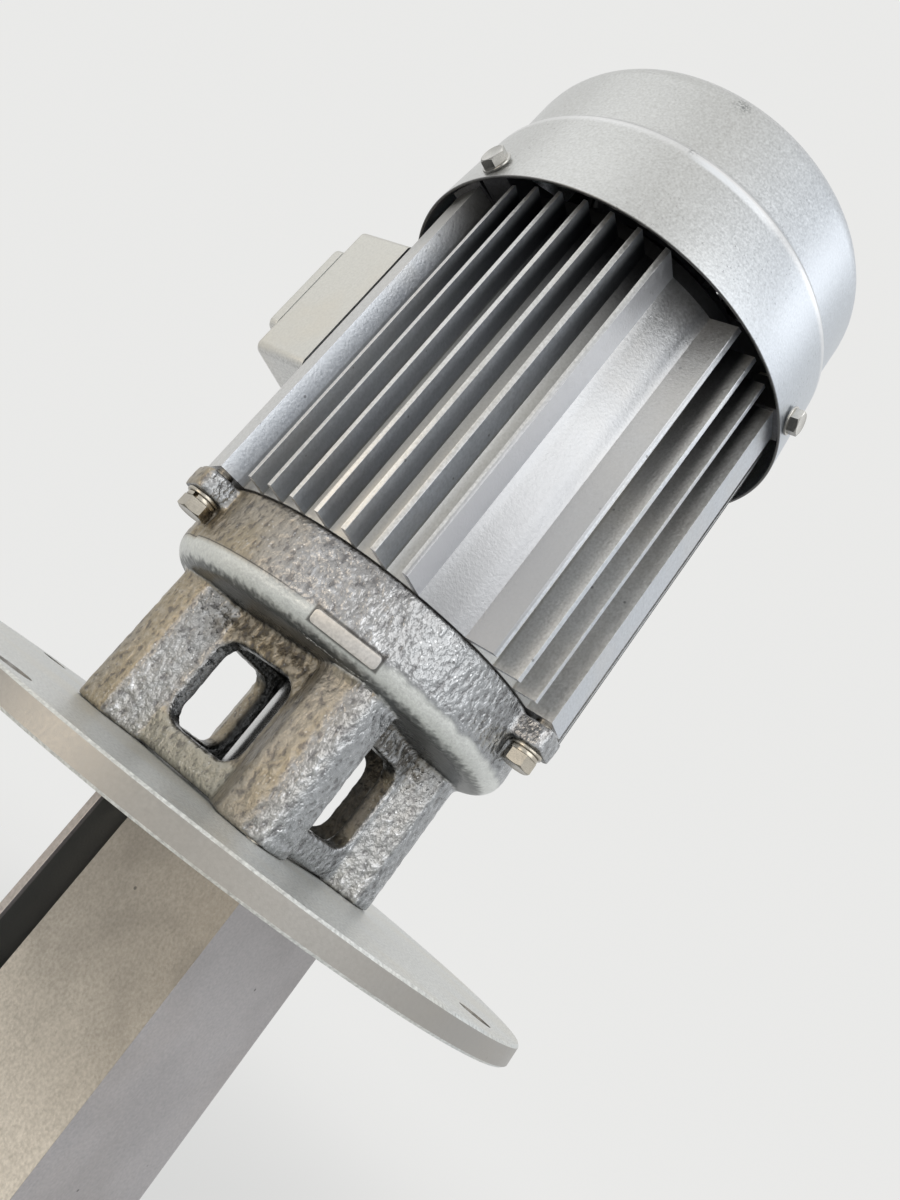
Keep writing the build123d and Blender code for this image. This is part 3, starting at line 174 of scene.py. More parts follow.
class PaintColours(bpy.types.PropertyGroup):
    """The silver paint and the bare metals"""

    frame: colour_field("Frame", "Paint of the finned frame", (0.67, 0.68, 0.705))
    cowl: colour_field("Cowl", "Paint of the fan cowl", (0.64, 0.655, 0.68))
    casting: colour_field("Casting", "Paint of the lantern bracket", (0.38, 0.375, 0.375))
    flange: colour_field("Flange", "Paint of the mounting flange", (0.72, 0.73, 0.71))
    column: colour_field("Column", "Paint of the welded column", (0.505, 0.465, 0.455))
    # The front plate's colour is the column's paint made lighter and warmer, a painted warm light on
    # the plate that faces the front
    front_plate: colour_field("Front plate", "Paint of the column's front", (0.79, 0.735, 0.67))
    box: colour_field("Terminal box", "Paint of the terminal box", (0.66, 0.66, 0.65))
    zinc: colour_field("Zinc", "Plating of the screws and washers", (0.56, 0.52, 0.45))


class StudioSettings(bpy.types.PropertyGroup):
    """Background, floor and lamps"""

    background: colour_field("Background", "Colour behind the pump", (0.82, 0.82, 0.81))
    daylight: bpy.props.FloatProperty(
        name="Daylight", description="Strength of the even light from all round",
        default=0.5, min=0)
    key: power_field("Key lamp", "Power of the large low lamp", 3.8)
    glint: power_field("Glint lamp", "Power of the small high lamp that the cowl mirrors", 0.5)
    side: power_field("Side lamp", "Power of the lamp across from the key lamp", 0.7)
    warm: power_field("Low lamp", "Power of the warm lamp below the flange", 0.75)
    floor_share: bpy.props.FloatProperty(
        name="Floor shade", description="How strongly the floor shows the pump's shadow",
        default=0.35, subtype="FACTOR", min=0, max=1)


# Wiring of materials

class Value:
    """A socket in a node tree. Sums written with it add the nodes that work them out."""

    def __init__(self, wiring, socket):
        self.wiring = wiring
        self.socket = socket

    def __add__(self, other):
        return self.wiring.maths("ADD", self, other)

    def __radd__(self, other):
        return self.wiring.maths("ADD", other, self)

    def __sub__(self, other):
        return self.wiring.maths("SUBTRACT", self, other)

    def __rsub__(self, other):
        return self.wiring.maths("SUBTRACT", other, self)

    def __mul__(self, other):
        return self.wiring.maths("MULTIPLY", self, other)

    def __rmul__(self, other):
        return self.wiring.maths("MULTIPLY", other, self)

    def __abs__(self):
        return self.wiring.maths("ABSOLUTE", self, 0.0)


class Wiring:
    """A node tree, emptied and wired anew."""

    def __init__(self, tree):
        self.tree = tree
        tree.nodes.clear()

    def add(self, kind, settings, sockets, result=0):
        """Adds a node: its settings first, then what its sockets hold or are fed by."""
        node = set_up(self.tree.nodes.new(kind), **settings)
        for key, value in sockets.items():
            socket = node.inputs[key]
            if isinstance(value, Value):
                self.tree.links.new(value.socket, socket)
            elif socket.type == "RGBA":
                socket.default_value = (*value, 1.0)
            else:
                socket.default_value = value
        if result is None:
            return None
        return Value(self, node.outputs[result])

    def maths(self, operation, first, second):
        return self.add("ShaderNodeMath", {"operation": operation}, {0: first, 1: second})

    def seen_or_mirrored(self):
        """1 for what the camera sees by itself, in a mirroring surface or through glass."""
        seen = self.add("ShaderNodeLightPath", {}, {}, "Is Camera Ray")
        rays = seen.socket.node.outputs
        for kind in ("Is Glossy Ray", "Is Transmission Ray"):
            seen = self.maths("MAXIMUM", seen, Value(self, rays[kind]))
        return seen


class Finish(Wiring):
    """A material and the nodes that it is wired from."""

    def __init__(self, name):
        self.material = bpy.data.materials.new(name)
        self.material.use_nodes = True
        super().__init__(self.material.node_tree)
        self.place = self.add("ShaderNodeTexCoord", {}, {}, "Object")

    def vector_maths(self, operation, first, second, result=0):
        return self.add(
            "ShaderNodeVectorMath", {"operation": operation}, {0: first, 1: second}, result)

    def blend(self, first, second, share):
        """A colour between two others."""
        return self.add("ShaderNodeMix", {"data_type": "RGBA"}, {0: share, 6: first, 7: second}, 2)

    def layered(self, ground, *layers):
        """A colour with others laid over it in turn, each as (colour, share)."""
        for layer, share in layers:
            ground = self.blend(ground, layer, share)
        return ground

    def tint(self, colour, shade):
        """A colour made lighter or darker by a changing shade."""
        return self.blend(scaled(colour, 0.0), scaled(colour, 2.0), shade * 0.5)

    def mottled(self, colour, *spots):
        """A colour made uneven by noises, each as (noise, share)."""
        return self.tint(colour, uneven(1.0, *spots))

    def cloud(self, width, detail=2.0, rough=0.5, place=None):
        """Soft noise from 0 to 1 whose spots are about width metres wide."""
        return self.add(
            "ShaderNodeTexNoise", {},
            {"Vector": place or self.place, "Scale": 1 / width, "Detail": detail,
             "Roughness": rough})

    def cells(self, width, place=None):
        """Distance to the nearest of scattered points, 0 at a point."""
        return self.add(
            "ShaderNodeTexVoronoi", {}, {"Vector": place or self.place, "Scale": 1 / width})

    def ease(self, value, low, high, at_low=0.0, at_high=1.0):
        """Runs smoothly from at_low to at_high while value goes from low to high."""
        return self.add(
            "ShaderNodeMapRange", {"interpolation_type": "SMOOTHSTEP"},
            {"Value": value, "From Min": low, "From Max": high, "To Min": at_low, "To Max": at_high})

    def fade(self, value, low, high):
        """Runs smoothly from 1 to 0 while value goes from low to high."""
        return self.ease(value, low, high, 1.0, 0.0)

    def stretched(self, x, y, z):
        """The place with each axis scaled."""
        return self.vector_maths("MULTIPLY", self.place, (x, y, z))

    def parts(self, vector):
        """A vector's X, Y and Z as three values."""
        split = self.add("ShaderNodeSeparateXYZ", {}, {0: vector})
        return [Value(self, output) for output in split.socket.node.outputs]

    def axes(self):
        """The place's X, Y and Z."""
        return self.parts(self.place)

    def facing(self):
        """The surface's direction as three values from -1 to 1."""
        return self.parts(self.add("ShaderNodeNewGeometry", {}, {}, "Normal"))

    def from_shaft(self):
        """Distance from the pump's axis."""
        return self.vector_maths("LENGTH", self.stretched(1, 1, 0), (0, 0, 0), 1)

    def away_from(self, point):
        """Distance from a point."""
        return self.vector_maths("DISTANCE", self.place, point, 1)

    def relief(self, height, depth, under=None):
        """Bumps that are depth metres high where height is 1."""
        sockets = {"Strength": 1.0, "Distance": depth, "Height": height}
        if under:
            sockets["Normal"] = under
        return self.add("ShaderNodeBump", {}, sockets)

    def orange_peel(self, depth):
        """The fine sandy relief of sprayed paint."""
        return self.relief(self.cloud(0.85 * MM, 2.0, 0.6), depth)

    def cover(self, colour, gloss, bumps, metal=0.0):
        """Finishes the material with one surface shader."""
        shader = self.add("ShaderNodeBsdfPrincipled", {}, {
            "Base Color": colour, "Metallic": metal, "Roughness": gloss, "Normal": bumps})
        self.add("ShaderNodeOutputMaterial", {}, {"Surface": shader}, None)
        return self.material


def dyed(colour, shares):
    """A colour with each of its three parts scaled."""
    return tuple(part * share for part, share in zip(colour, shares))


def scaled(colour, share):
    return dyed(colour, (share, share, share))


def uneven(level, *spots):
    """A level that noises raise and lower, each as (noise, share)."""
    for spot, share in spots:
        level = level + (spot - 0.5) * share
    return level


# Finishes

def sprayed(finish, colour, warm=0.0, grain=0.16, specks=0.0):
    """Silver paint's colour and gloss: fine flake, slow mottling, painted warm light on faces that
    look to the front and painted cool light on faces that look to the side, with dust and dark
    specks where wanted."""
    flake = finish.cloud(0.75 * MM, 1.0)
    fine = finish.cloud(1.3 * MM, 2.0)
    slow = finish.cloud(26 * MM, 3.0)
    front, side = finish.facing()[:2]
    # The two layers after the mottled base are painted light: a warm reflection on faces that look
    # to the front, a cool one on faces that look to the side
    coat = finish.layered(
        finish.mottled(colour, (flake, 6.0 * grain), (fine, 1.6 * grain), (slow, 0.14)),
        (dyed(colour, (0.98, 0.955, 0.87)), finish.ease(front, 0.4, 1.0) * 0.6),
        (dyed(colour, (0.86, 0.92, 0.98)), finish.ease(side, 0.4, 1.0) * 0.7))
    if warm > 0:
        dust = finish.ease(finish.cloud(34 * MM, 4.0, 0.6), 0.42, 0.70) * warm
        coat = finish.blend(coat, dyed(colour, (1.02, 0.93, 0.78)), dust)
    if specks > 0:
        spot = finish.fade(finish.cells(9 * MM), 0.035, 0.06)
        coat = finish.blend(coat, scaled(colour, 0.22), spot * specks)
    return coat, uneven(0.40, (slow, 0.16), (flake, 0.25))


def silver_paint(name, colour, warm, grain=0.16, peel=0.03 * MM):
    """Sprayed silver paint on a plain surface."""
    finish = Finish(name)
    coat, gloss = sprayed(finish, colour, warm, grain)
    return finish.cover(coat, gloss, finish.orange_peel(peel), SILVER)


def frame_paint(name, colour, top):
    """Silver paint on the finned frame, with painted shade deep between the fins, darkest near the
    cowl, warm painted shade on the channel floors, painted shade in the open valley and on the flat
    pad's foot and top, and a painted highlight on the side of the last fin before the valley."""
    finish = Finish(name)
    coat, gloss = sprayed(finish, colour, warm=0.2, grain=0.21, specks=0.6)
    x, y, z = finish.axes()
    radius = finish.from_shaft()
    from_pad_line = abs(x * 0.5 + y * 0.866)
    pad = finish.fade(from_pad_line, 6.0 * MM, 6.6 * MM) * finish.ease(x, 0.0, 10 * MM)
    # Painted shade where the pad rises from the channel floor
    pad_foot_shade = pad * finish.fade(radius, 60.2 * MM, 60.8 * MM)
    # Painted shade on the pad's upper part, under the cowl
    pad_shade = pad * finish.ease(z, top - 34 * MM, top - 6 * MM)
    deep = finish.fade(radius, 61.5 * MM, 65.0 * MM) * (1 - pad)
    near_cowl = finish.ease(z, top - 75 * MM, top - 2 * MM)
    fins = finish.fade(y, 20 * MM, 27 * MM)
    valley = finish.ease(y, 34.7 * MM, 35.1 * MM) * finish.ease(x, 33.9 * MM, 34.3 * MM)
    fin_side = finish.ease(finish.facing()[1], 0.8, 0.95)
    # Painted highlight on the side of the last fin before the valley
    last_fin_highlight = fin_side * finish.fade(abs(y - 33.5 * MM), 2.6 * MM, 3.0 * MM)
    # Warm painted shade on the floors of the channels, away from the cowl
    channel = finish.fade(radius, 58.6 * MM, 59.3 * MM) * (1 - valley)
    coat = finish.layered(
        coat,
        # Painted shade deep between the front fins
        ((0.08, 0.09, 0.12), deep * fins * 0.34),
        # Painted shade in the open valley, more towards its lower end
        ((0.38, 0.385, 0.40), valley * finish.ease(z, 90 * MM, 170 * MM, 0.85, 0.35)),
        # Painted highlight on the side of the last fin before the valley
        ((0.93, 0.94, 0.98), last_fin_highlight * 0.55),
        # Painted shade where the pad rises from the channel floor
        ((0.22, 0.225, 0.23), pad_foot_shade * 0.55),
        # Painted shade on the pad's upper part, under the cowl
        ((0.13, 0.12, 0.105), pad_shade * 0.75),
        # Painted shade, near black, deep between the fins near the cowl
        ((0.012, 0.013, 0.018), deep * near_cowl * (1 - valley) * 0.94),
        # Warm painted shade on the floors of the channels, away from the cowl
        ((0.40, 0.385, 0.34), channel * (1 - near_cowl) * 0.45))
    return finish.cover(coat, gloss, finish.orange_peel(0.08 * MM), SILVER)


def cowl_paint(name, colour, rim, crease, top):
    """Silver paint on the cowl: a painted highlight along the crease, brightest round one spot, with
    a painted shade line in its step; dark at the rim's edge; painted shade, near black, inside; with
    scuffs."""
    finish = Finish(name)
    coat, gloss = sprayed(finish, colour, grain=0.19)
    z = finish.axes()[2]
    # Painted highlight: a light line along the crease, and a bright band just below it round one
    # spot
    from_highlight_spot = finish.away_from((55.0 * MM, 40.0 * MM, crease - 1.2 * MM))
    crease_highlight_spot = finish.fade(from_highlight_spot, 7 * MM, 19 * MM)
    line = finish.fade(abs(z - (crease - 0.9 * MM)), 0.6 * MM, 2.6 * MM)
    crease_highlight_band = finish.fade(abs(z - (crease - 2.4 * MM)), 0.5 * MM, 1.6 * MM)
    # Painted shade line in the crease's step
    crease_shade_line = finish.fade(abs(z - (crease - 0.3 * MM)), 0.10 * MM, 0.35 * MM)
    # Painted shade: the cowl's inside under the roof and the slots' lips, near black, matt and not
    # metallic
    below_roof = finish.fade(z, top - 1.2 * MM, top - 0.8 * MM)
    inner = below_roof * finish.fade(finish.from_shaft(), 54 * MM, 56 * MM)
    edge = finish.fade(z, rim + 0.05 * MM, rim + 0.5 * MM)
    coat = finish.layered(
        coat,
        # Painted highlight along the crease, brightest round one spot
        ((0.90, 0.90, 0.91), line * (0.55 + crease_highlight_spot * 0.45)),
        # Painted highlight band just below the crease round one spot
        ((0.93, 0.96, 1.0), crease_highlight_band * crease_highlight_spot * 0.9),
        # Painted shade line in the crease's step
        ((0.50, 0.51, 0.52), crease_shade_line * 0.6),
        # Painted shade inside the cowl
        ((0.015, 0.015, 0.016), inner),
        ((0.05, 0.048, 0.045), edge * 0.9))
    worn = finish.ease(finish.cloud(0.9 * MM, 3.0, 0.7), 0.46, 0.60)
    scuffs = (
        ((61.0 * MM, 27.6 * MM, 242.6 * MM), 5.0 * MM),
        ((61.2 * MM, 25.3 * MM, 216.4 * MM), 3.2 * MM),
        ((28.5 * MM, 60.3 * MM, 219.4 * MM), 1.0 * MM))
    for point, reach in scuffs:
        mark = finish.fade(finish.away_from(point), reach * 0.15, reach)
        coat = finish.blend(coat, (0.10, 0.11, 0.115), mark * worn * 0.85)
    gloss = gloss - 0.05 + inner * 0.6
    return finish.cover(coat, gloss, finish.orange_peel(0.06 * MM), (1 - inner) * SILVER)


def plate_paint(name, colour, warm, low, high, shade):
    """Silver-grey paint on a plate of the column: stained, with painted shade inside the channel,
    and darker towards the flange by a painted shade that grows from low to high."""
    finish = Finish(name)
    coat, gloss = sprayed(finish, colour, warm, grain=0.24, specks=0.8)
    x, y, z = finish.axes()
    stain = finish.ease(finish.cloud(24 * MM, 3.0, 0.55), 0.40, 0.62, 0.0, 0.08)
    near_corner, far_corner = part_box("column_channel")
    middle = (near_corner + far_corner) / 2
    half = (far_corner - near_corner) / 2
    beyond = finish.maths("MAXIMUM", abs(x - middle.x) - half.x, abs(y - middle.y) - half.y)
    above_foot = finish.ease(z, near_corner.z + 2 * MM, near_corner.z + 10 * MM)
    # Painted shade inside the channel
    inside = finish.fade(beyond, -1.6 * MM, -0.9 * MM) * above_foot
    coat = finish.layered(
        coat,
        # Painted shade of the flange, growing from low to high, with the stains added to it
        ((0.03, 0.028, 0.025), finish.ease(z, low, high, 0.0, shade) + stain),
        # Painted shade inside the channel
        ((0.12, 0.128, 0.122), inside * 0.85))
    return finish.cover(coat, gloss, finish.orange_peel(0.05 * MM), 0.7)


def flange_paint(name, colour):
    """Silver-grey paint on the flange, with a darker, browner painted shade on the faces of its rim
    that look sideways.
    """
    finish = Finish(name)
    coat, gloss = sprayed(finish, colour, warm=0.3, grain=0.2, specks=0.5)
    # Painted shade on the rim's sideways faces, darker and browner
    rim = finish.fade(abs(finish.facing()[2]), 0.2, 0.6)
    coat = finish.blend(coat, (0.33, 0.305, 0.28), rim * 0.8)
    return finish.cover(coat, gloss, finish.orange_peel(0.03 * MM), 0.5)


def cast_paint(name, colour):
    """Thick silver paint on a rough casting, thin and brown in its hollows."""
    finish = Finish(name)
    lumps = finish.cloud(2.2 * MM, 3.0, 0.6)
    grit = finish.cloud(0.8 * MM, 2.0, 0.6)
    thin = finish.ease(finish.cloud(11 * MM, 4.0, 0.62), 0.42, 0.66)
    pits = finish.fade(lumps, 0.34, 0.52)
    coat = finish.mottled(colour, (grit, 0.4), (lumps, 0.3))
    coat = finish.blend(coat, (0.20, 0.15, 0.085), thin * (0.15 + pits * 0.4))
    bumps = finish.relief(grit, 0.22 * MM, finish.relief(lumps, 0.8 * MM))
    return finish.cover(coat, uneven(0.30, (grit, 0.20)) + thin * 0.12, bumps, SILVER)


def pad_outline(finish):
    """1 in the thin ring round the lantern's flat pad, where a painted shadow line lies."""
    sideways = finish.vector_maths("DOT_PRODUCT", finish.place, PAD_ACROSS, 1)
    upward = finish.vector_maths("DOT_PRODUCT", finish.place, PAD_UP, 1)
    beyond = finish.maths(
        "MAXIMUM", abs(sideways) - PAD_WIDTH / 2,
        abs(upward - PAD_MIDDLE.dot(PAD_UP)) - PAD_HEIGHT / 2)
    near = finish.fade(finish.away_from(PAD_MIDDLE), 11 * MM, 14 * MM)
    return finish.fade(beyond, 0.35 * MM, 1.0 * MM) * near


def lantern_paint(name, colour):
    """Silver paint on the sand cast lantern: hammered on the ring, with painted highlights, shade
    and glints on its lumps; painted warm brown light on the front faces and painted cool blue-grey
    light on the side faces; painted light on the sills and on the fillet below the parting line;
    painted shade in the hollows over the windows and inside, and smooth with painted shade under the
    shoulder."""
    finish = Finish(name)
    x, y, z = finish.axes()
    front, side, up = finish.facing()
    radius = finish.from_shaft()
    lumps = finish.cloud(1.75 * MM, 2.0, 0.5, finish.stretched(1, 1, 0.75))
    grit = finish.cloud(0.8 * MM, 2.0, 0.6)
    slow = finish.cloud(15 * MM, 3.0)

    # The ring over the windows, and the ragged line where its hammered skin begins
    ring = finish.ease(z, 49 * MM, 51 * MM) * finish.ease(radius, 40 * MM, 44 * MM)
    left = finish.fade(y, 6 * MM, 26 * MM)
    wave = (finish.cloud(9 * MM, 2.0) - 0.5) * (6 * MM)
    edge = z + wave * (1 - left)
    rough = finish.ease(edge, 54.5 * MM, 57.5 * MM) * ring + (1 - ring)
    fillet = ring * (1 - finish.ease(edge, 54.9 * MM, 56.8 * MM))
    seam = finish.fade(abs(z - 56.3 * MM), 0.08 * MM, 0.24 * MM) * ring * left

    # The faces that look to the front and to the side, for painted warm light and painted cool light
    corner = finish.ease(front * 0.707 + side * 0.707, 0.72, 0.97)
    warm = finish.ease(front, 0.30, 0.86) * (1 - finish.ease(corner, 0.3, 0.9) * 0.75)
    warm = warm * (1 - ring * finish.ease(y, -8 * MM, 16 * MM))
    cool = finish.ease(side, 0.35, 0.92)
    patch = finish.ease(slow, 0.36, 0.60)

    # Painted shade in the hollows over the windows, painted light on the sills below them, and
    # painted shade on the shoulder's underside and the inside
    hollow = finish.ease(z, 36 * MM, 46 * MM) * finish.fade(radius, 37 * MM, 41 * MM)
    hollow_lump_shade = finish.fade(lumps, 0.40, 0.58)
    sill = finish.fade(z, 15 * MM, 17 * MM) * finish.fade(radius, 36 * MM, 39 * MM)
    downward = finish.fade(up + (lumps - 0.5) * 0.35, -0.96, -0.72)
    under = downward * finish.ease(z, 12 * MM, 16 * MM)
    across = finish.maths("MAXIMUM", abs(x), abs(y))
    inside = finish.fade(across, 25.4 * MM, 28.6 * MM) * (1 - ring)

    # Painted highlights on the tops, painted shade in the bottoms, painted glints, and the pores of
    # the hammered skin
    crest_highlight = finish.ease(lumps, 0.54, 0.68) * finish.ease(slow, 0.40, 0.56)
    trough_shade = finish.fade(lumps, 0.32, 0.46)
    painted_glint = finish.fade(finish.cells(1.3 * MM) + (grit - 0.5) * 0.5, 0.08, 0.24)
    painted_glint = painted_glint * finish.ease(finish.cloud(7 * MM, 2.0), 0.38, 0.58)
    pore = finish.fade(finish.cells(2.4 * MM, finish.stretched(1, 1, 0.7)), 0.09, 0.20)

    blue = finish.mottled((0.35, 0.375, 0.40), (grit, 0.4), (lumps, 0.3))
    beige = finish.mottled((0.38, 0.32, 0.225), (grit, 0.5), (lumps, 0.6))
    sand = finish.mottled((0.42, 0.405, 0.35), (grit, 0.4))
    fillet_highlight = finish.mottled((0.80, 0.82, 0.80), (grit, 0.5), (slow, 0.3))
    coat = finish.layered(
        finish.mottled(colour, (grit, 0.55), (lumps, 0.45), (slow, 0.25)),
        # Painted cool light on faces that look to the side
        (blue, cool * 0.65),
        # Painted warm brown light on faces that look to the front, in patches
        (beige, warm * (0.55 + patch * 0.35)),
        # Painted shade in the hollows over the windows, deepest between the lumps
        ((0.085, 0.068, 0.042), hollow * (0.25 + hollow_lump_shade * 0.6)),
        # Painted warm light on the sills below the windows
        (sand, sill * warm * 0.8),
        # Painted highlights on the tops of the lumps
        ((0.72, 0.74, 0.78), crest_highlight * rough * (1 - warm * 0.7) * 0.40),
        # Painted shade in the bottoms between the lumps
        ((0.11, 0.105, 0.11), trough_shade * rough * 0.55),
        # Painted glints on the hammered skin
        ((0.90, 0.92, 0.95), painted_glint * rough * (1 - warm * 0.6) * 0.65),
        ((0.10, 0.095, 0.10), pore * rough * 0.5),
        # Painted highlight on the smooth fillet below the parting line
        (fillet_highlight, fillet * 0.85),
        # Painted shade on faces that look down, under the shoulder
        ((0.075, 0.08, 0.082), under * 0.85),
        ((0.06, 0.058, 0.055), seam * 0.7),
        # Painted shadow line round the flat pad
        ((0.07, 0.065, 0.06), pad_outline(finish) * 0.8),
        # Painted shade, near black, inside the lantern
        ((0.035, 0.036, 0.035), inside * 0.8))

    hammered = finish.relief(lumps * (0.08 + rough * 0.92) * (1 - warm * 0.35), 0.8 * MM)
    bumps = finish.relief(grit, 0.12 * MM, hammered)
    gloss = uneven(0.29, (grit, 0.2)) + warm * 0.14 + fillet * 0.15
    return finish.cover(coat, gloss, bumps, SILVER)


def bare_metal(name, colour, roughness, streak, tarnish, underside_shade=0.0):
    """Turned, ground or plated metal with fine streaks and a little tarnish, and painted shade on
    its lower side."""
    finish = Finish(name)
    fine = finish.cloud(0.8 * MM, 2.0, 0.5, finish.stretched(*streak))
    slow = finish.cloud(7 * MM, 3.0)
    shade = uneven(1.0, (fine, 0.25), (slow, 2 * tarnish))
    # Painted shade on faces that look down
    if underside_shade > 0:
        shade = shade * finish.ease(finish.facing()[2], -0.75, 0.25, 1 - underside_shade, 1.0)
    gloss = uneven(roughness, (slow, 0.25), (fine, 0.12))
    return finish.cover(finish.tint(colour, shade), gloss, finish.relief(fine, 0.006 * MM), 1.0)


def dull_stuff(name, colour, roughness, grain=0.2):
    """Plastic, rubber, varnish or cast metal with a fine uneven skin."""
    finish = Finish(name)
    fine = finish.cloud(1.2 * MM, 3.0)
    slow = finish.cloud(24 * MM, 2.0)
    return finish.cover(
        finish.mottled(colour, (fine, grain), (slow, grain)), uneven(roughness, (slow, 0.2)),
        finish.relief(fine, 0.02 * MM))


def stacked_sheets(name, colour):
    """Edges of thin steel sheets, stacked along Z."""
    finish = Finish(name)
    sheet = 0.9 * MM
    z = finish.axes()[2]
    line = abs(finish.maths("FRACT", z * (1 / sheet), 0.0) - 0.5) * 2
    shade = uneven(0.65 + line * 0.5, (finish.cloud(3 * MM), 0.3))
    return finish.cover(
        finish.tint(colour, shade), 0.45 + line * 0.1, finish.relief(line, 0.03 * MM), 0.8)


def wound_wire(name, colour):
    """Varnished wires that run round the windings."""
    finish = Finish(name)
    strand = finish.cloud(1.1 * MM, 2.0, 0.5, finish.stretched(0.35, 0.35, 1.6))
    return finish.cover(
        finish.tint(colour, 0.6 + strand * 0.8), 0.3 + strand * 0.15,
        finish.relief(strand, 0.15 * MM), 0.7)


# Mesh making

def arc_points(corner, before, after, radius, steps):
    """Points of the arc that rounds one corner of an outline."""
    back = (before - corner).normalized()
    ahead = (after - corner).normalized()
    half = back.angle(ahead) / 2
    run = radius / math.tan(half)
    middle = corner + (back + ahead).normalized() * (radius / math.sin(half))
    start = corner + back * run - middle
    end = corner + ahead * run - middle
    sweep = start.angle_signed(end)
    points = []
    for step in range(steps + 1):
        points.append(middle + turned_by(start, -sweep * step / steps))
    return points


def turned_by(vector, angle):
    c, s = math.cos(angle), math.sin(angle)
    return Vector((vector.x * c - vector.y * s, vector.x * s + vector.y * c))


def rounded(corners, steps):
    """An outline from (radius, height, fillet) corners, each fillet made of short runs."""
    points = []
    count = len(corners)
    for index, (x, y, fillet) in enumerate(corners):
        corner = Vector((x, y))
        if fillet == 0:
            points.append(corner)
            continue
        before = Vector(corners[index - 1][:2])
        after = Vector(corners[(index + 1) % count][:2])
        points += arc_points(corner, before, after, fillet, steps)
    return points


def turn_outline(bm, outline, segments, span=TURN):
    """Turns a closed outline of (radius, height) points about Z and returns the new vertices."""
    whole = abs(span - TURN) < 1e-6
    stations = segments if whole else segments + 1
    rows = []
    for radius, height in outline:
        if radius < 1e-7:
            rows.append([bm.verts.new((0, 0, height))])
            continue
        row = []
        for index in range(stations):
            angle = span * index / segments
            row.append(bm.verts.new((radius * math.cos(angle), radius * math.sin(angle), height)))
        rows.append(row)
    for low, high in zip(rows, rows[1:] + rows[:1]):
        join_rows(bm, low, high, segments, whole)
    if not whole:
        bm.faces.new([row[0] for row in rows][::-1])
        bm.faces.new([row[-1] for row in rows])
    return [vertex for row in rows for vertex in row]


def join_rows(bm, low, high, segments, whole):
    """Faces between two rows of vertices, either of which may be one point."""
    if len(low) == 1 and len(high) == 1:
        return
    for index in range(segments):
        following = (index + 1) % segments if whole else index + 1
        if len(low) == 1:
            bm.faces.new((low[0], high[following], high[index]))
        elif len(high) == 1:
            bm.faces.new((low[index], low[following], high[0]))
        else:
            bm.faces.new((low[index], low[following], high[following], high[index]))


def smooth_mesh(mesh, sharp):
    """Smooth shading, with a hard edge wherever faces meet at more than sharp degrees."""
    mesh.polygons.foreach_set("use_smooth", [True] * len(mesh.polygons))
    mesh.set_sharp_from_angle(angle=math.radians(sharp))


def piece_from(bm, name, material, sharp=32):
    """Makes the piece's object from a finished bmesh."""
    bmesh.ops.recalc_face_normals(bm, faces=bm.faces)
    mesh = bpy.data.meshes.new(name)
    bm.to_mesh(mesh)
    bm.free()
    smooth_mesh(mesh, sharp)
    mesh.materials.append(material)
    piece = bpy.data.objects.new(name, mesh)
    bpy.context.collection.objects.link(piece)
    return piece


def settle(piece):
    """Applies a piece's modifiers to its mesh."""
    graph = bpy.context.evaluated_depsgraph_get()
    mesh = bpy.data.meshes.new_from_object(piece.evaluated_get(graph))
    old = piece.data
    piece.modifiers.clear()
    piece.data = mesh
    bpy.data.meshes.remove(old)


def cut_away(piece, cutter):
    """Cuts one piece's mesh out of another's, and removes the cutter."""
    set_up(
        piece.modifiers.new("cut", "BOOLEAN"),
        operation="DIFFERENCE", solver="EXACT", object=cutter)
    bpy.context.view_layer.update()
    settle(piece)
    bpy.data.objects.remove(cutter)


def fixed(piece):
    """Lets a piece stand still with the pump."""
    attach(piece, FIXED_BODY)


def stands_for(piece, node):
    """Hides the CAD node that a piece replaces, and lets the piece stand still with the pump."""
    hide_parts(node)
    fixed(piece)


def painted(node, material):
    """Gives a CAD node its material."""
    materials = frame["nodes"][node].data.materials
    materials.clear()
    materials.append(material)


def edges_broken(node, width, segments=2):
    """Rounds a CAD node's sharp edges with modifiers."""
    modifiers = frame["nodes"][node].modifiers
    set_up(modifiers.new("weld", "WELD"), merge_threshold=0.002 * MM)
    set_up(
        modifiers.new("edges", "BEVEL"), width=width, segments=segments,
        limit_method="ANGLE", angle_limit=math.radians(40), harden_normals=True)


# Fastener shapes

def about_z(azimuth):
    return Matrix.Rotation(math.radians(azimuth), 4, "Z")


def cowl_screw_place(azimuth):
    """Where a cowl screw's axis lies: Z points outwards at the height of the washers."""
    height = Matrix.Translation((0, 0, mid_height_of("cowl_washers")))
    return about_z(azimuth) @ height @ Matrix.Rotation(TURN / 4, 4, "Y")


def hex_head(bm, across, height, place):
    """A hexagon head with its top corners turned off and a dished top, standing on the XY plane."""
    count = 60
    flat_r = across * 0.475
    chamfer = math.tan(math.radians(28))
    dish = 0.12 * MM
    points = [[], [], [], []]
    for index in range(count):
        angle = TURN * index / count
        offset = (angle + TURN / 12) % (TURN / 6) - TURN / 12
        radius = across / 2 / math.cos(offset)
        drop = (radius - flat_r) * chamfer
        levels = (
            (radius, 0), (radius, height - drop), (flat_r, height), (flat_r * 0.82, height - dish))
        for row, (reach, level) in zip(points, levels):
            row.append(Vector((reach * math.cos(angle), reach * math.sin(angle), level)))
    rows = [[bm.verts.new(place @ point) for point in row] for row in points]
    for low, high in zip(rows, rows[1:]):
        join_rows(bm, low, high, count, True)
    bm.faces.new(rows[0][::-1])
    bm.faces.new(rows[-1])


def turned_part(bm, corners, segments, place, span=TURN):
    """A turned ring or pin put in place."""
    vertices = turn_outline(bm, rounded(corners, 3), segments, span)
    bmesh.ops.transform(bm, matrix=place, verts=vertices)


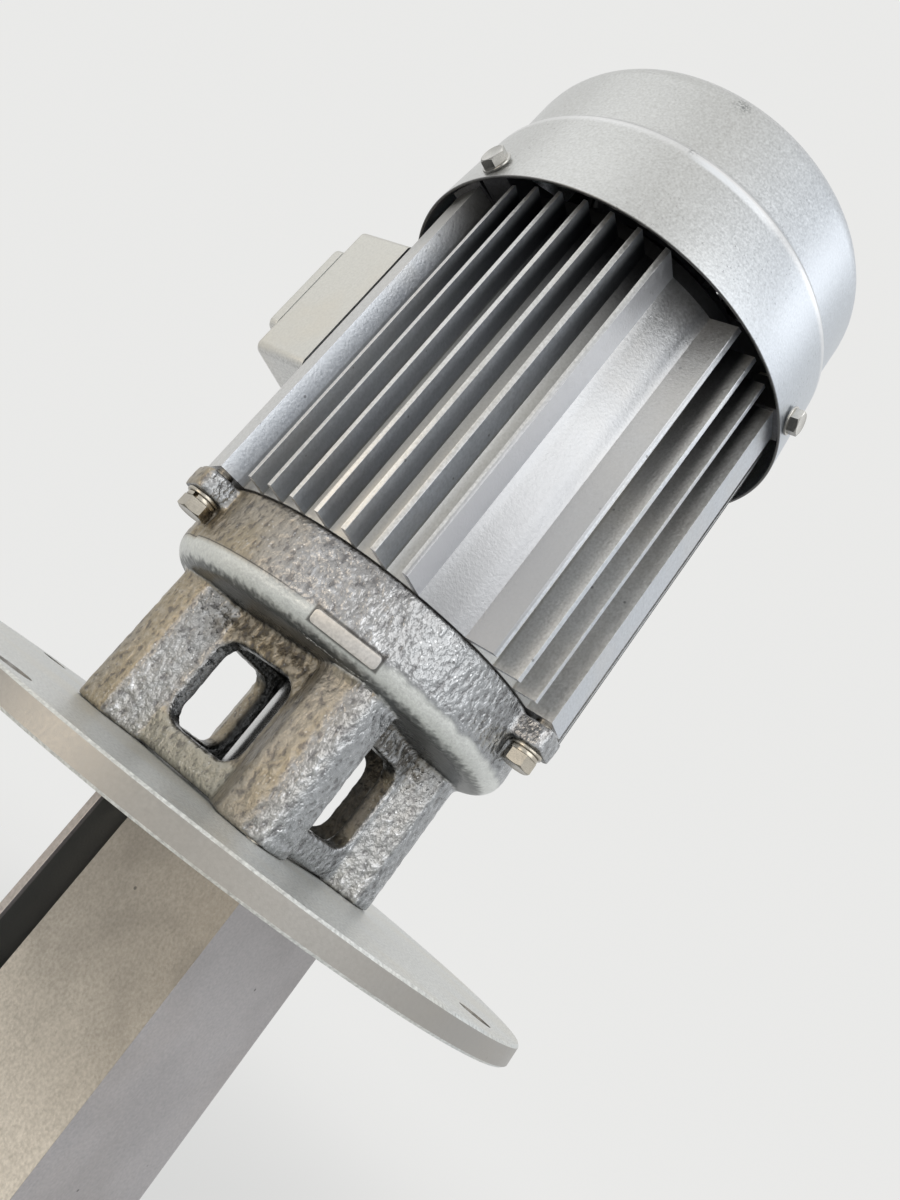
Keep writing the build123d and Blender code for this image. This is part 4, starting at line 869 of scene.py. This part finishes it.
def ring_corners(inner, outer, low, high, low_corner, high_corner):
    """The outline of a washer, with its inner corners just broken."""
    return [
        (inner, low, 0.1 * MM), (outer, low, low_corner),
        (outer, high, high_corner), (inner, high, 0.1 * MM)]


def pin_corners(radius, low, high, low_corner, high_corner):
    """The outline of a plain pin."""
    return [(0, low, 0), (radius, low, low_corner), (radius, high, high_corner), (0, high, 0)]


# Operators: one for each piece or group of pieces

class PUMP_OT_turn_cowl(bpy.types.Operator):
    """Turns the fan cowl from sheet, with its step, grille slots and screw holes"""

    bl_idname = "pump.turn_cowl"
    bl_label = "Fan cowl"

    def execute(self, context):
        sizes = context.scene.pump_cowl
        rim = foot_of("fan_cowl")
        top = top_of("fan_cowl")
        crease = rim + sizes.crease_height
        step = crease + sizes.step_height
        wall = sizes.sheet
        top_radius = sizes.drum_radius - 0.6 * MM
        outer = [
            (sizes.rim_radius, rim, 0.4 * MM),
            (sizes.crease_radius, crease, 3.0 * MM),
            (sizes.drum_radius, step, 2.6 * MM),
            (top_radius, top, sizes.corner_radius),
            (0, top, 0)]
        inner = [
            (0, top - wall, 0),
            (top_radius - wall, top - wall, sizes.corner_radius - wall),
            (sizes.drum_radius - wall, step, 3.2 * MM),
            (sizes.crease_radius - wall, crease, 2.4 * MM),
            (sizes.rim_radius - wall, rim, 0.4 * MM)]
        bm = bmesh.new()
        turn_outline(bm, rounded(outer + inner, 8), 288)
        colour = context.scene.pump_paint.cowl
        material = cowl_paint("cowl_paint", colour, rim, crease, top)
        cowl = piece_from(bm, "turned_fan_cowl", material)
        cut_away(cowl, self.openings(sizes, top))
        self.lips(cowl, sizes, top - 0.05 * MM)
        smooth_mesh(cowl.data, 38)
        stands_for(cowl, "fan_cowl")
        return {"FINISHED"}

    def openings(self, sizes, top):
        """One cutter for every grille slot and screw hole."""
        bm = bmesh.new()
        for radius, turn in self.slot_places(sizes):
            outline = self.slot_outline(radius, sizes.slot_width / 2, sizes, turn)
            low, high = self.rows(bm, (outline, top - 4 * MM), (outline, top + 4 * MM))
            join_rows(bm, low, high, len(outline), True)
            bm.faces.new(low[::-1])
            bm.faces.new(high)
        hole = [(0, 60 * MM), (2.2 * MM, 60 * MM), (2.2 * MM, 75 * MM), (0, 75 * MM)]
        for azimuth in COWL_SCREW_AZIMUTHS:
            vertices = turn_outline(bm, hole, 32)
            bmesh.ops.transform(bm, matrix=cowl_screw_place(azimuth), verts=vertices)
        return piece_from(bm, "cowl_cutter", None)

    def lips(self, cowl, sizes, top):
        """Adds the turned-in edge of every grille slot to the cowl's mesh."""
        bm = bmesh.new()
        bm.from_mesh(cowl.data)
        low = top - 8 * MM
        for radius, turn in self.slot_places(sizes):
            inner = self.slot_outline(radius, sizes.slot_width / 2 - 0.9 * MM, sizes, turn)
            outer = self.slot_outline(radius, sizes.slot_width / 2 + 0.05 * MM, sizes, turn)
            rows = self.rows(bm, (inner, top), (inner, low), (outer, low), (outer, top))
            for row, following in zip(rows, rows[1:] + rows[:1]):
                join_rows(bm, row, following, len(inner), True)
        bmesh.ops.recalc_face_normals(bm, faces=bm.faces)
        bm.to_mesh(cowl.data)
        bm.free()

    def rows(self, bm, *levels):
        """New vertices in rows, each row an outline at a height."""
        return [[bm.verts.new((x, y, height)) for x, y in outline] for outline, height in levels]

    def slot_places(self, sizes):
        """The radius and turn of every slot's middle."""
        places = []
        for ring, radius in enumerate((22 * MM, 32 * MM, 42 * MM)):
            for index in range(sizes.slot_count):
                places.append((radius, TURN * (index + 0.5 * (ring % 2)) / sizes.slot_count))
        return places

    def slot_outline(self, radius, half, sizes, turn):
        """A curved slot's outline, with round ends."""
        start = turn - sizes.slot_span / 2
        end = turn + sizes.slot_span / 2
        centre = (0, 0)
        first = (radius * math.cos(end), radius * math.sin(end))
        second = (radius * math.cos(start), radius * math.sin(start))
        return (
            self.arc(centre, radius + half, start, end, 12)
            + self.arc(first, half, end, end + math.pi, 8)[1:-1]
            + self.arc(centre, radius - half, end, start, 12)
            + self.arc(second, half, start + math.pi, start + TURN, 8)[1:-1])

    def arc(self, middle, radius, start, end, steps):
        """Points along an arc, with both ends."""
        points = []
        for step in range(steps + 1):
            angle = start + (end - start) * step / steps
            x = middle[0] + radius * math.cos(angle)
            points.append((x, middle[1] + radius * math.sin(angle)))
        return points


class PUMP_OT_cast_lantern(bpy.types.Operator):
    """Gives the lantern bracket its round corners and rough sand cast skin"""

    bl_idname = "pump.cast_lantern"
    bl_label = "Lantern bracket"

    # The ring's rounded shoulder, and where the rough skin ends at the machined rim, foot and bore
    shoulder_top = foot_of("lantern_bracket") + 51.5 * MM
    shoulder_radius = 7.5 * MM
    skin_top = foot_of("motor_frame") - 0.9 * MM
    skin_foot = foot_of("lantern_bracket") + 1 * MM
    bore_reach = 27 * MM

    def execute(self, context):
        sizes = context.scene.pump_casting
        bm = bmesh.new()
        bm.from_mesh(frame["nodes"]["lantern_bracket"].data)
        bmesh.ops.remove_doubles(bm, verts=bm.verts, dist=0.001 * MM)
        paint = lantern_paint("lantern_paint", context.scene.pump_paint.casting)
        casting = piece_from(bm, "cast_lantern_bracket", paint)
        set_up(
            casting.modifiers.new("skin", "REMESH"),
            mode="VOXEL", voxel_size=sizes.voxel, use_smooth_shade=True)
        set_up(casting.modifiers.new("corners", "SMOOTH"), factor=0.5, iterations=sizes.smoothing)
        settle(casting)
        self.roughen(casting.data, sizes)
        stands_for(casting, "lantern_bracket")
        self.flat_pad()
        return {"FINISHED"}

    def flat_pad(self):
        """The flat ground pad, standing proud of the ring's shoulder."""
        bm = bmesh.new()
        bmesh.ops.create_cube(bm, size=1.0)
        bmesh.ops.scale(bm, vec=(2.2 * MM, PAD_WIDTH, PAD_HEIGHT), verts=bm.verts)
        uprights = [
            edge for edge in bm.edges if abs(edge.verts[0].co.x - edge.verts[1].co.x) > 1 * MM]
        self.round_off(bm, uprights, 1.1 * MM, 5)
        rims = [edge for edge in bm.edges if min(vertex.co.x for vertex in edge.verts) > 1 * MM]
        self.round_off(bm, rims, 0.18 * MM, 2)
        bmesh.ops.transform(bm, matrix=PAD_PLACE, verts=bm.verts)
        bare = silver_paint("pad_paint", (0.74, 0.71, 0.69), warm=0.2, grain=0.14, peel=0.04 * MM)
        fixed(piece_from(bm, "lantern_flat_pad", bare, 30))

    def round_off(self, bm, edges, radius, segments):
        bmesh.ops.bevel(
            bm, geom=edges, offset=radius, segments=segments, affect="EDGES", profile=0.5)

    def roughen(self, mesh, sizes):
        """Moves each point of the cast skin in or out by layered noise."""
        normals = [vertex.normal.copy() for vertex in mesh.vertices]
        for vertex, normal in zip(mesh.vertices, normals):
            self.sink_pad(vertex)
            share = self.roughness_at(vertex.co)
            if share == 0:
                continue
            wide = noise.noise(vertex.co / sizes.lump_width)
            narrow = noise.noise(vertex.co / (sizes.lump_width * 0.42) + Vector((7, 3, 5)))
            vertex.co += normal * (sizes.lump_height * share * (wide + 0.45 * narrow))
        mesh.update()

    def sink_pad(self, vertex):
        """Takes the solid's own flat pad back to the round shoulder, as a piece stands there."""
        point = vertex.co
        radius = math.hypot(point.x, point.y)
        if abs(self.azimuth_of(point) - 30) > 15 or radius < 46 * MM:
            return
        if not 46 * MM < point.z < self.shoulder_top:
            return
        height = max(point.z, self.shoulder_top - self.shoulder_radius)
        drop = min((self.shoulder_top - height) / self.shoulder_radius, 1.0)
        swell = self.shoulder_radius * math.sqrt(1 - drop * drop)
        shoulder = min(radius, 50.9 * MM + swell)
        vertex.co = Vector((point.x * shoulder / radius, point.y * shoulder / radius, height))

    def roughness_at(self, point):
        """Share of the cast lumps at a point: none on machined faces and round the flat pad, few
        on the shoulder."""
        radius = math.hypot(point.x, point.y)
        if not self.skin_foot <= point.z <= self.skin_top or radius < self.bore_reach:
            return 0
        beside = abs(self.azimuth_of(point) - PAD_AZIMUTH) < 12
        if beside and 49 * MM < point.z < 57 * MM and radius > 54 * MM:
            return 0
        if 46 * MM < point.z < 56 * MM and radius > 42 * MM:
            return 0.25
        return 1

    def azimuth_of(self, point):
        return math.degrees(math.atan2(point.y, point.x))


class PUMP_OT_make_lug_fasteners(bpy.types.Operator):
    """Makes the three bolts under the lantern's lugs, with their spring and plain washers"""

    bl_idname = "pump.make_lug_fasteners"
    bl_label = "Lug bolts"

    def execute(self, context):
        zinc = bare_metal(
            "zinc_plate", context.scene.pump_paint.zinc,
            roughness=0.26, streak=(1, 1, 3), tarnish=0.45, underside_shade=0.45)
        bolts = bmesh.new()
        springs = bmesh.new()
        washers = bmesh.new()
        under_lug = top_of("lug_washers")
        spring_top = top_of("lug_spring_washers")
        head_top = foot_of("lug_spring_washers")
        head_low = foot_of("lug_bolts")
        shank = pin_corners(2.45 * MM, head_top, top_of("lug_bolts"), 0, 0.4 * MM)
        spring = ring_corners(2.6 * MM, 4.4 * MM, head_top, spring_top, 0.2 * MM, 0.2 * MM)
        plain = ring_corners(2.7 * MM, 5 * MM, spring_top, under_lug, 0.25 * MM, 0.15 * MM)
        for turn, azimuth in zip((11, 37, 52), LUG_AZIMUTHS):
            spot = about_z(azimuth) @ Matrix.Translation((LUG_BOLT_RADIUS, 0, 0))
            seat = spot @ Matrix.Translation((0, 0, head_top)) @ about_z(turn)
            down = seat @ Matrix.Rotation(math.pi, 4, "X")
            hex_head(bolts, LUG_BOLT_ACROSS, head_top - head_low, down)
            turned_part(bolts, shank, 32, spot)
            turned_part(springs, spring, 60, spot @ about_z(turn * 5), math.radians(342))
            turned_part(washers, plain, 48, spot)
        pieces = (
            (bolts, "lug_bolt_set", "lug_bolts"),
            (springs, "lug_spring_washer_set", "lug_spring_washers"),
            (washers, "lug_washer_set", "lug_washers"))
        for bm, name, node in pieces:
            stands_for(piece_from(bm, name, zinc, 20), node)
        return {"FINISHED"}


class PUMP_OT_make_cowl_fasteners(bpy.types.Operator):
    """Makes the three screws that hold the cowl, with their dished washers"""

    bl_idname = "pump.make_cowl_fasteners"
    bl_label = "Cowl screws"

    def execute(self, context):
        zinc = bare_metal(
            "bright_zinc", (0.66, 0.65, 0.62),
            roughness=0.2, streak=(1, 1, 2), tarnish=0.4, underside_shade=0.75)
        screws = bmesh.new()
        washers = bmesh.new()
        head = COWL_SCREW_SEAT + COWL_WASHER_HEIGHT
        washer = ring_corners(2.2 * MM, 4.5 * MM, COWL_SCREW_SEAT, head, 0.2 * MM, 0.3 * MM)
        shank = pin_corners(1.95 * MM, 58 * MM, head, 0.3 * MM, 0)
        for turn, azimuth in zip((8, 23, 50), COWL_SCREW_AZIMUTHS):
            spot = cowl_screw_place(azimuth) @ about_z(turn)
            turned_part(washers, washer, 48, spot)
            hex_head(screws, COWL_SCREW_ACROSS, 2.8 * MM, spot @ Matrix.Translation((0, 0, head)))
            turned_part(screws, shank, 28, spot)
        stands_for(piece_from(screws, "cowl_screw_set", zinc, 20), "cowl_screws")
        stands_for(piece_from(washers, "cowl_washer_set", zinc, 20), "cowl_washers")
        return {"FINISHED"}


class PUMP_OT_lay_welds(bpy.types.Operator):
    """Lays the weld bead between the column and the flange, and a tack at the front corner"""

    bl_idname = "pump.lay_welds"
    bl_label = "Welds"

    def execute(self, context):
        low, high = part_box("column_channel")
        plate_low, plate_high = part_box("column_front_plate")
        front = plate_high.x
        top = high.z
        corner = Vector((front, high.y, top))
        route = [
            Vector((front, plate_low.y, top)), corner, Vector((low.x, high.y, top)),
            Vector((low.x, low.y, top)), Vector((front, low.y, top))]
        tack = [corner - Vector((0, 0, 2 * MM)), corner - Vector((0, 0, 5 * MM))]
        bm = bmesh.new()
        self.bead(bm, route, 1.6 * MM)
        self.bead(bm, tack, 1.4 * MM)
        weld = piece_from(bm, "column_weld_bead", cast_paint("weld_paint", (0.34, 0.315, 0.28)), 60)
        fixed(weld)
        return {"FINISHED"}

    def bead(self, bm, route, radius):
        """A lumpy bead along straight runs."""
        around = 12
        points = []
        for start, end in zip(route, route[1:]):
            steps = max(2, int((end - start).length / (0.7 * MM)))
            for index in range(steps):
                points.append(start.lerp(end, index / steps))
        points.append(route[-1])
        rows = []
        for index, point in enumerate(points):
            before = points[max(index - 1, 0)]
            after = points[min(index + 1, len(points) - 1)]
            ahead = (after - before).normalized()
            upright = Vector((0, 0, 1)) if abs(ahead.z) < 0.9 else Vector((1, 1, 0))
            side = ahead.cross(upright).normalized()
            over = side.cross(ahead)
            swell = 1 + 0.22 * noise.noise(point / (2.2 * MM)) + 0.10 * math.sin(index * 1.9)
            reach = radius * swell
            row = []
            for step in range(around):
                angle = TURN * step / around
                lift = reach * math.sin(angle) * 0.9 - 0.4 * MM
                row.append(bm.verts.new(point + side * (reach * math.cos(angle)) + over * lift))
            rows.append(row)
        for low, high in zip(rows, rows[1:]):
            join_rows(bm, low, high, around, True)
        bm.faces.new(rows[0][::-1])
        bm.faces.new(rows[-1])


class PUMP_OT_finish_frame(bpy.types.Operator):
    """Breaks the edges of the finned frame and sprays it silver, and sprays the end shield a
    near-black silver as painted shade under the cowl
    """

    bl_idname = "pump.finish_frame"
    bl_label = "Motor frame"

    def execute(self, context):
        colour = context.scene.pump_paint.frame
        painted("motor_frame", frame_paint("frame_paint", colour, top_of("motor_frame")))
        # The end shield's near-black silver is painted shade under the cowl
        painted("fan_end_shield", silver_paint("shield_painted_shade", (0.09, 0.09, 0.095), warm=0.3))
        edges_broken("motor_frame", 0.28 * MM)
        return {"FINISHED"}


class PUMP_OT_finish_plates(bpy.types.Operator):
    """Paints the flange and the column, and breaks the column's edges"""

    bl_idname = "pump.finish_plates"
    bl_label = "Flange and column"

    def execute(self, context):
        colours = context.scene.pump_paint
        painted("mounting_flange", flange_paint("flange_paint", colours.flange))
        cool = plate_paint(
            "column_paint", colours.column, warm=0.1, low=-40 * MM, high=-12 * MM, shade=0.12)
        # The front plate's paint is a lighter, warmer copy of the column's, a painted warm light,
        # with a stronger painted shade of the flange
        warm = plate_paint(
            "front_plate_paint", colours.front_plate,
            warm=0.05, low=-95 * MM, high=-20 * MM, shade=0.62)
        painted("column_channel", cool)
        painted("column_foot_plate", cool)
        painted("column_front_plate", warm)
        for node in ("column_channel", "column_front_plate"):
            edges_broken(node, 0.35 * MM)
        return {"FINISHED"}


class PUMP_OT_finish_terminal_box(bpy.types.Operator):
    """Rounds the terminal box's edges and paints it"""

    bl_idname = "pump.finish_terminal_box"
    bl_label = "Terminal box"

    def execute(self, context):
        colours = context.scene.pump_paint
        paint = silver_paint("box_paint", colours.box, warm=0.3, grain=0.12, peel=0.02 * MM)
        for node in ("terminal_box_base", "terminal_box_lid"):
            painted(node, paint)
            edges_broken(node, 0.7 * MM, 3)
        return {"FINISHED"}


class PUMP_OT_finish_inner_parts(bpy.types.Operator):
    """Gives the shaft, bearings, cores, windings, fan, impeller and small parts their materials"""

    bl_idname = "pump.finish_inner_parts"
    bl_label = "Inner and small parts"

    def execute(self, context):
        paints = context.scene.pump_paint
        turned = (1, 1, 8)
        finishes = (
            (bare_metal("ground_steel", (0.60, 0.60, 0.60), 0.24, (1, 1, 25), 0.12),
             "shaft impeller_key"),
            (bare_metal("plated_steel", paints.zinc, 0.3, (1, 1, 2), 0.25),
             "end_shield_bolts lantern_screws casing_bolts suction_cover_screws terminal_lid_screws "
             "terminal_base_screws fan_circlip wave_washer impeller_washer impeller_nut"),
            (bare_metal("bearing_steel", (0.66, 0.66, 0.67), 0.16, turned, 0.08),
             "lower_bearing_outer_ring lower_bearing_inner_ring lower_bearing_balls "
             "upper_bearing_outer_ring upper_bearing_inner_ring upper_bearing_balls"),
            (bare_metal("bearing_bronze", (0.55, 0.36, 0.16), 0.35, turned, 0.2),
             "throat_bushing terminal_studs"),
            (stacked_sheets("core_sheets", (0.34, 0.34, 0.35)), "stator_core rotor_core"),
            (wound_wire("winding_copper", (0.55, 0.22, 0.09)), "stator_windings"),
            (dull_stuff("cast_aluminium", (0.55, 0.56, 0.57), 0.45), "rotor_end_rings"),
            (dull_stuff("seal_rubber", (0.03, 0.03, 0.032), 0.5), "shaft_seal cable_gland_sleeve"),
            (dull_stuff("gasket_cork", (0.36, 0.34, 0.30), 0.7), "terminal_box_gasket"),
            (dull_stuff("fan_plastic", (0.045, 0.045, 0.05), 0.45), "cooling_fan"),
            (dull_stuff("block_plastic", (0.05, 0.05, 0.055), 0.5), "terminal_block"),
            (dull_stuff("gland_plastic", (0.32, 0.33, 0.35), 0.5),
             "cable_gland_body cable_gland_nut"),
            (dull_stuff("impeller_casting", (0.42, 0.40, 0.36), 0.5, 0.3), "impeller"),
            (cast_paint("casing_paint", paints.casting), "pump_casing suction_cover outlet_socket"))
        for material, nodes in finishes:
            for node in nodes.split():
                painted(node, material)
        return {"FINISHED"}


class PUMP_OT_set_stage(bpy.types.Operator):
    """Sets the camera, the pale floor, the background and the soft lamps"""

    bl_idname = "pump.set_stage"
    bl_label = "Stage"

    def execute(self, context):
        studio = context.scene.pump_studio
        self.camera(context)
        self.floor(studio)
        self.world(context, studio)
        lamps = (
            # name, power, size, azimuth, elevation, distance, colour
            ("key_lamp", studio.key, 0.9, 64, 20, 1.1, (1.0, 0.99, 0.97)),
            ("glint_lamp", studio.glint, 0.35, 112, 50, 1.1, (0.97, 0.98, 1.0)),
            ("side_lamp", studio.side, 0.8, -35, 35, 1.1, (0.96, 0.98, 1.0)),
            ("low_lamp", studio.warm, 0.35, -10, -8, 0.8, (1.0, 0.86, 0.68)))
        for lamp in lamps:
            self.lamp(*lamp)
        context.scene.view_settings.view_transform = "Standard"
        return {"FINISHED"}

    def camera(self, context):
        data = set_up(
            bpy.data.cameras.new("photo_camera"), sensor_fit="AUTO", sensor_width=36,
            lens=CAMERA_LENS, clip_start=0.01, clip_end=20)
        camera = bpy.data.objects.new("photo_camera", data)
        turn = Matrix((CAMERA_RIGHT, CAMERA_UP, CAMERA_BACK)).transposed().to_4x4()
        camera.matrix_world = Matrix.Translation(CAMERA_PLACE) @ turn
        context.collection.objects.link(camera)
        context.scene.camera = camera

    def floor(self, studio):
        """A wide pale disc at the pump's foot, which is the background's colour to the camera and
        keeps some of the pump's shadow near it; its glow is a little dimmer near the pump, a painted
        shade."""
        bm = bmesh.new()
        bmesh.ops.create_circle(bm, cap_ends=True, segments=96, radius=6.0)
        bmesh.ops.translate(bm, vec=(0, 0, cad_box[0].z), verts=bm.verts)
        finish = Finish("pale_floor")
        from_middle = finish.away_from((0, 0, 0))
        shaded = finish.ease(from_middle, 0.25, 1.1, studio.floor_share, 0.0)
        pale = finish.tint((0.80, 0.80, 0.79), 0.98 + finish.cloud(0.4, 2.0) * 0.04)
        # Painted shade: the floor's glow is a little dimmer near the pump
        dim = scaled(studio.background, 0.93)
        even = finish.blend(dim, studio.background, finish.ease(from_middle, 0.3, 1.6))
        matt = finish.add("ShaderNodeBsdfDiffuse", {}, {"Color": pale})
        glow = finish.add("ShaderNodeEmission", {}, {"Color": even, "Strength": 1.0})
        plain = finish.seen_or_mirrored() * (1 - shaded)
        mixed = finish.add("ShaderNodeMixShader", {}, {0: plain, 1: matt, 2: glow})
        finish.add("ShaderNodeOutputMaterial", {}, {"Surface": mixed}, None)
        floor = piece_from(bm, "floor", finish.material)

    def world(self, context, studio):
        """Even daylight, which looks like the background to the camera and in metal."""
        world = bpy.data.worlds.new("soft_daylight")
        world.use_nodes = True
        sky = Wiring(world.node_tree)
        light = sky.add(
            "ShaderNodeBackground", {}, {"Color": (0.96, 0.98, 1.0), "Strength": studio.daylight})
        shown = sky.add("ShaderNodeBackground", {}, {"Color": studio.background})
        mixed = sky.add("ShaderNodeMixShader", {}, {0: sky.seen_or_mirrored(), 1: light, 2: shown})
        sky.add("ShaderNodeOutputWorld", {}, {"Surface": mixed}, None)
        context.scene.world = world

    def lamp(self, name, power, size, azimuth, elevation, distance, colour):
        """A square soft lamp that faces a point just over the lantern."""
        data = set_up(
            bpy.data.lights.new(name, "AREA"),
            shape="SQUARE", size=size, energy=power, color=colour)
        lamp = bpy.data.objects.new(name, data)
        a = math.radians(azimuth)
        e = math.radians(elevation)
        aim = Vector((math.cos(a) * math.cos(e), math.sin(a) * math.cos(e), math.sin(e)))
        lamp.location = Vector((0, 0, 0.08)) + aim * distance
        lamp.rotation_euler = aim.to_track_quat("Z", "Y").to_euler()
        bpy.context.collection.objects.link(lamp)


# The add-on's panel and registration

STEPS = (
    PUMP_OT_set_stage,
    PUMP_OT_finish_frame,
    PUMP_OT_turn_cowl,
    PUMP_OT_cast_lantern,
    PUMP_OT_finish_plates,
    PUMP_OT_finish_terminal_box,
    PUMP_OT_make_lug_fasteners,
    PUMP_OT_make_cowl_fasteners,
    PUMP_OT_lay_welds,
    PUMP_OT_finish_inner_parts,
)

SETTINGS = (
    ("pump_cowl", CowlSizes),
    ("pump_casting", CastingSizes),
    ("pump_paint", PaintColours),
    ("pump_studio", StudioSettings),
)


class PUMP_PT_steps(bpy.types.Panel):
    """Lists the pump's pieces and their settings"""

    bl_idname = "PUMP_PT_steps"
    bl_label = "Coolant Pump"
    bl_space_type = "VIEW_3D"
    bl_region_type = "UI"
    bl_category = "Pump"

    def draw(self, context):
        for name, group in SETTINGS:
            box = self.layout.box()
            settings = getattr(context.scene, name)
            for field in group.__annotations__:
                box.prop(settings, field)
        for step in STEPS:
            self.layout.operator(step.bl_idname)


def register():
    for name, group in SETTINGS:
        bpy.utils.register_class(group)
        setattr(bpy.types.Scene, name, bpy.props.PointerProperty(type=group))
    for step in STEPS:
        bpy.utils.register_class(step)
    bpy.utils.register_class(PUMP_PT_steps)


def unregister():
    bpy.utils.unregister_class(PUMP_PT_steps)
    for step in reversed(STEPS):
        bpy.utils.unregister_class(step)
    for name, group in reversed(SETTINGS):
        delattr(bpy.types.Scene, name)
        bpy.utils.unregister_class(group)


def main():
    register()
    bpy.ops.pump.set_stage()
    bpy.ops.pump.finish_frame()
    bpy.ops.pump.turn_cowl()
    bpy.ops.pump.cast_lantern()
    bpy.ops.pump.finish_plates()
    bpy.ops.pump.finish_terminal_box()
    bpy.ops.pump.make_lug_fasteners()
    bpy.ops.pump.make_cowl_fasteners()
    bpy.ops.pump.lay_welds()
    bpy.ops.pump.finish_inner_parts()


if __name__ == "__main__":
    main()
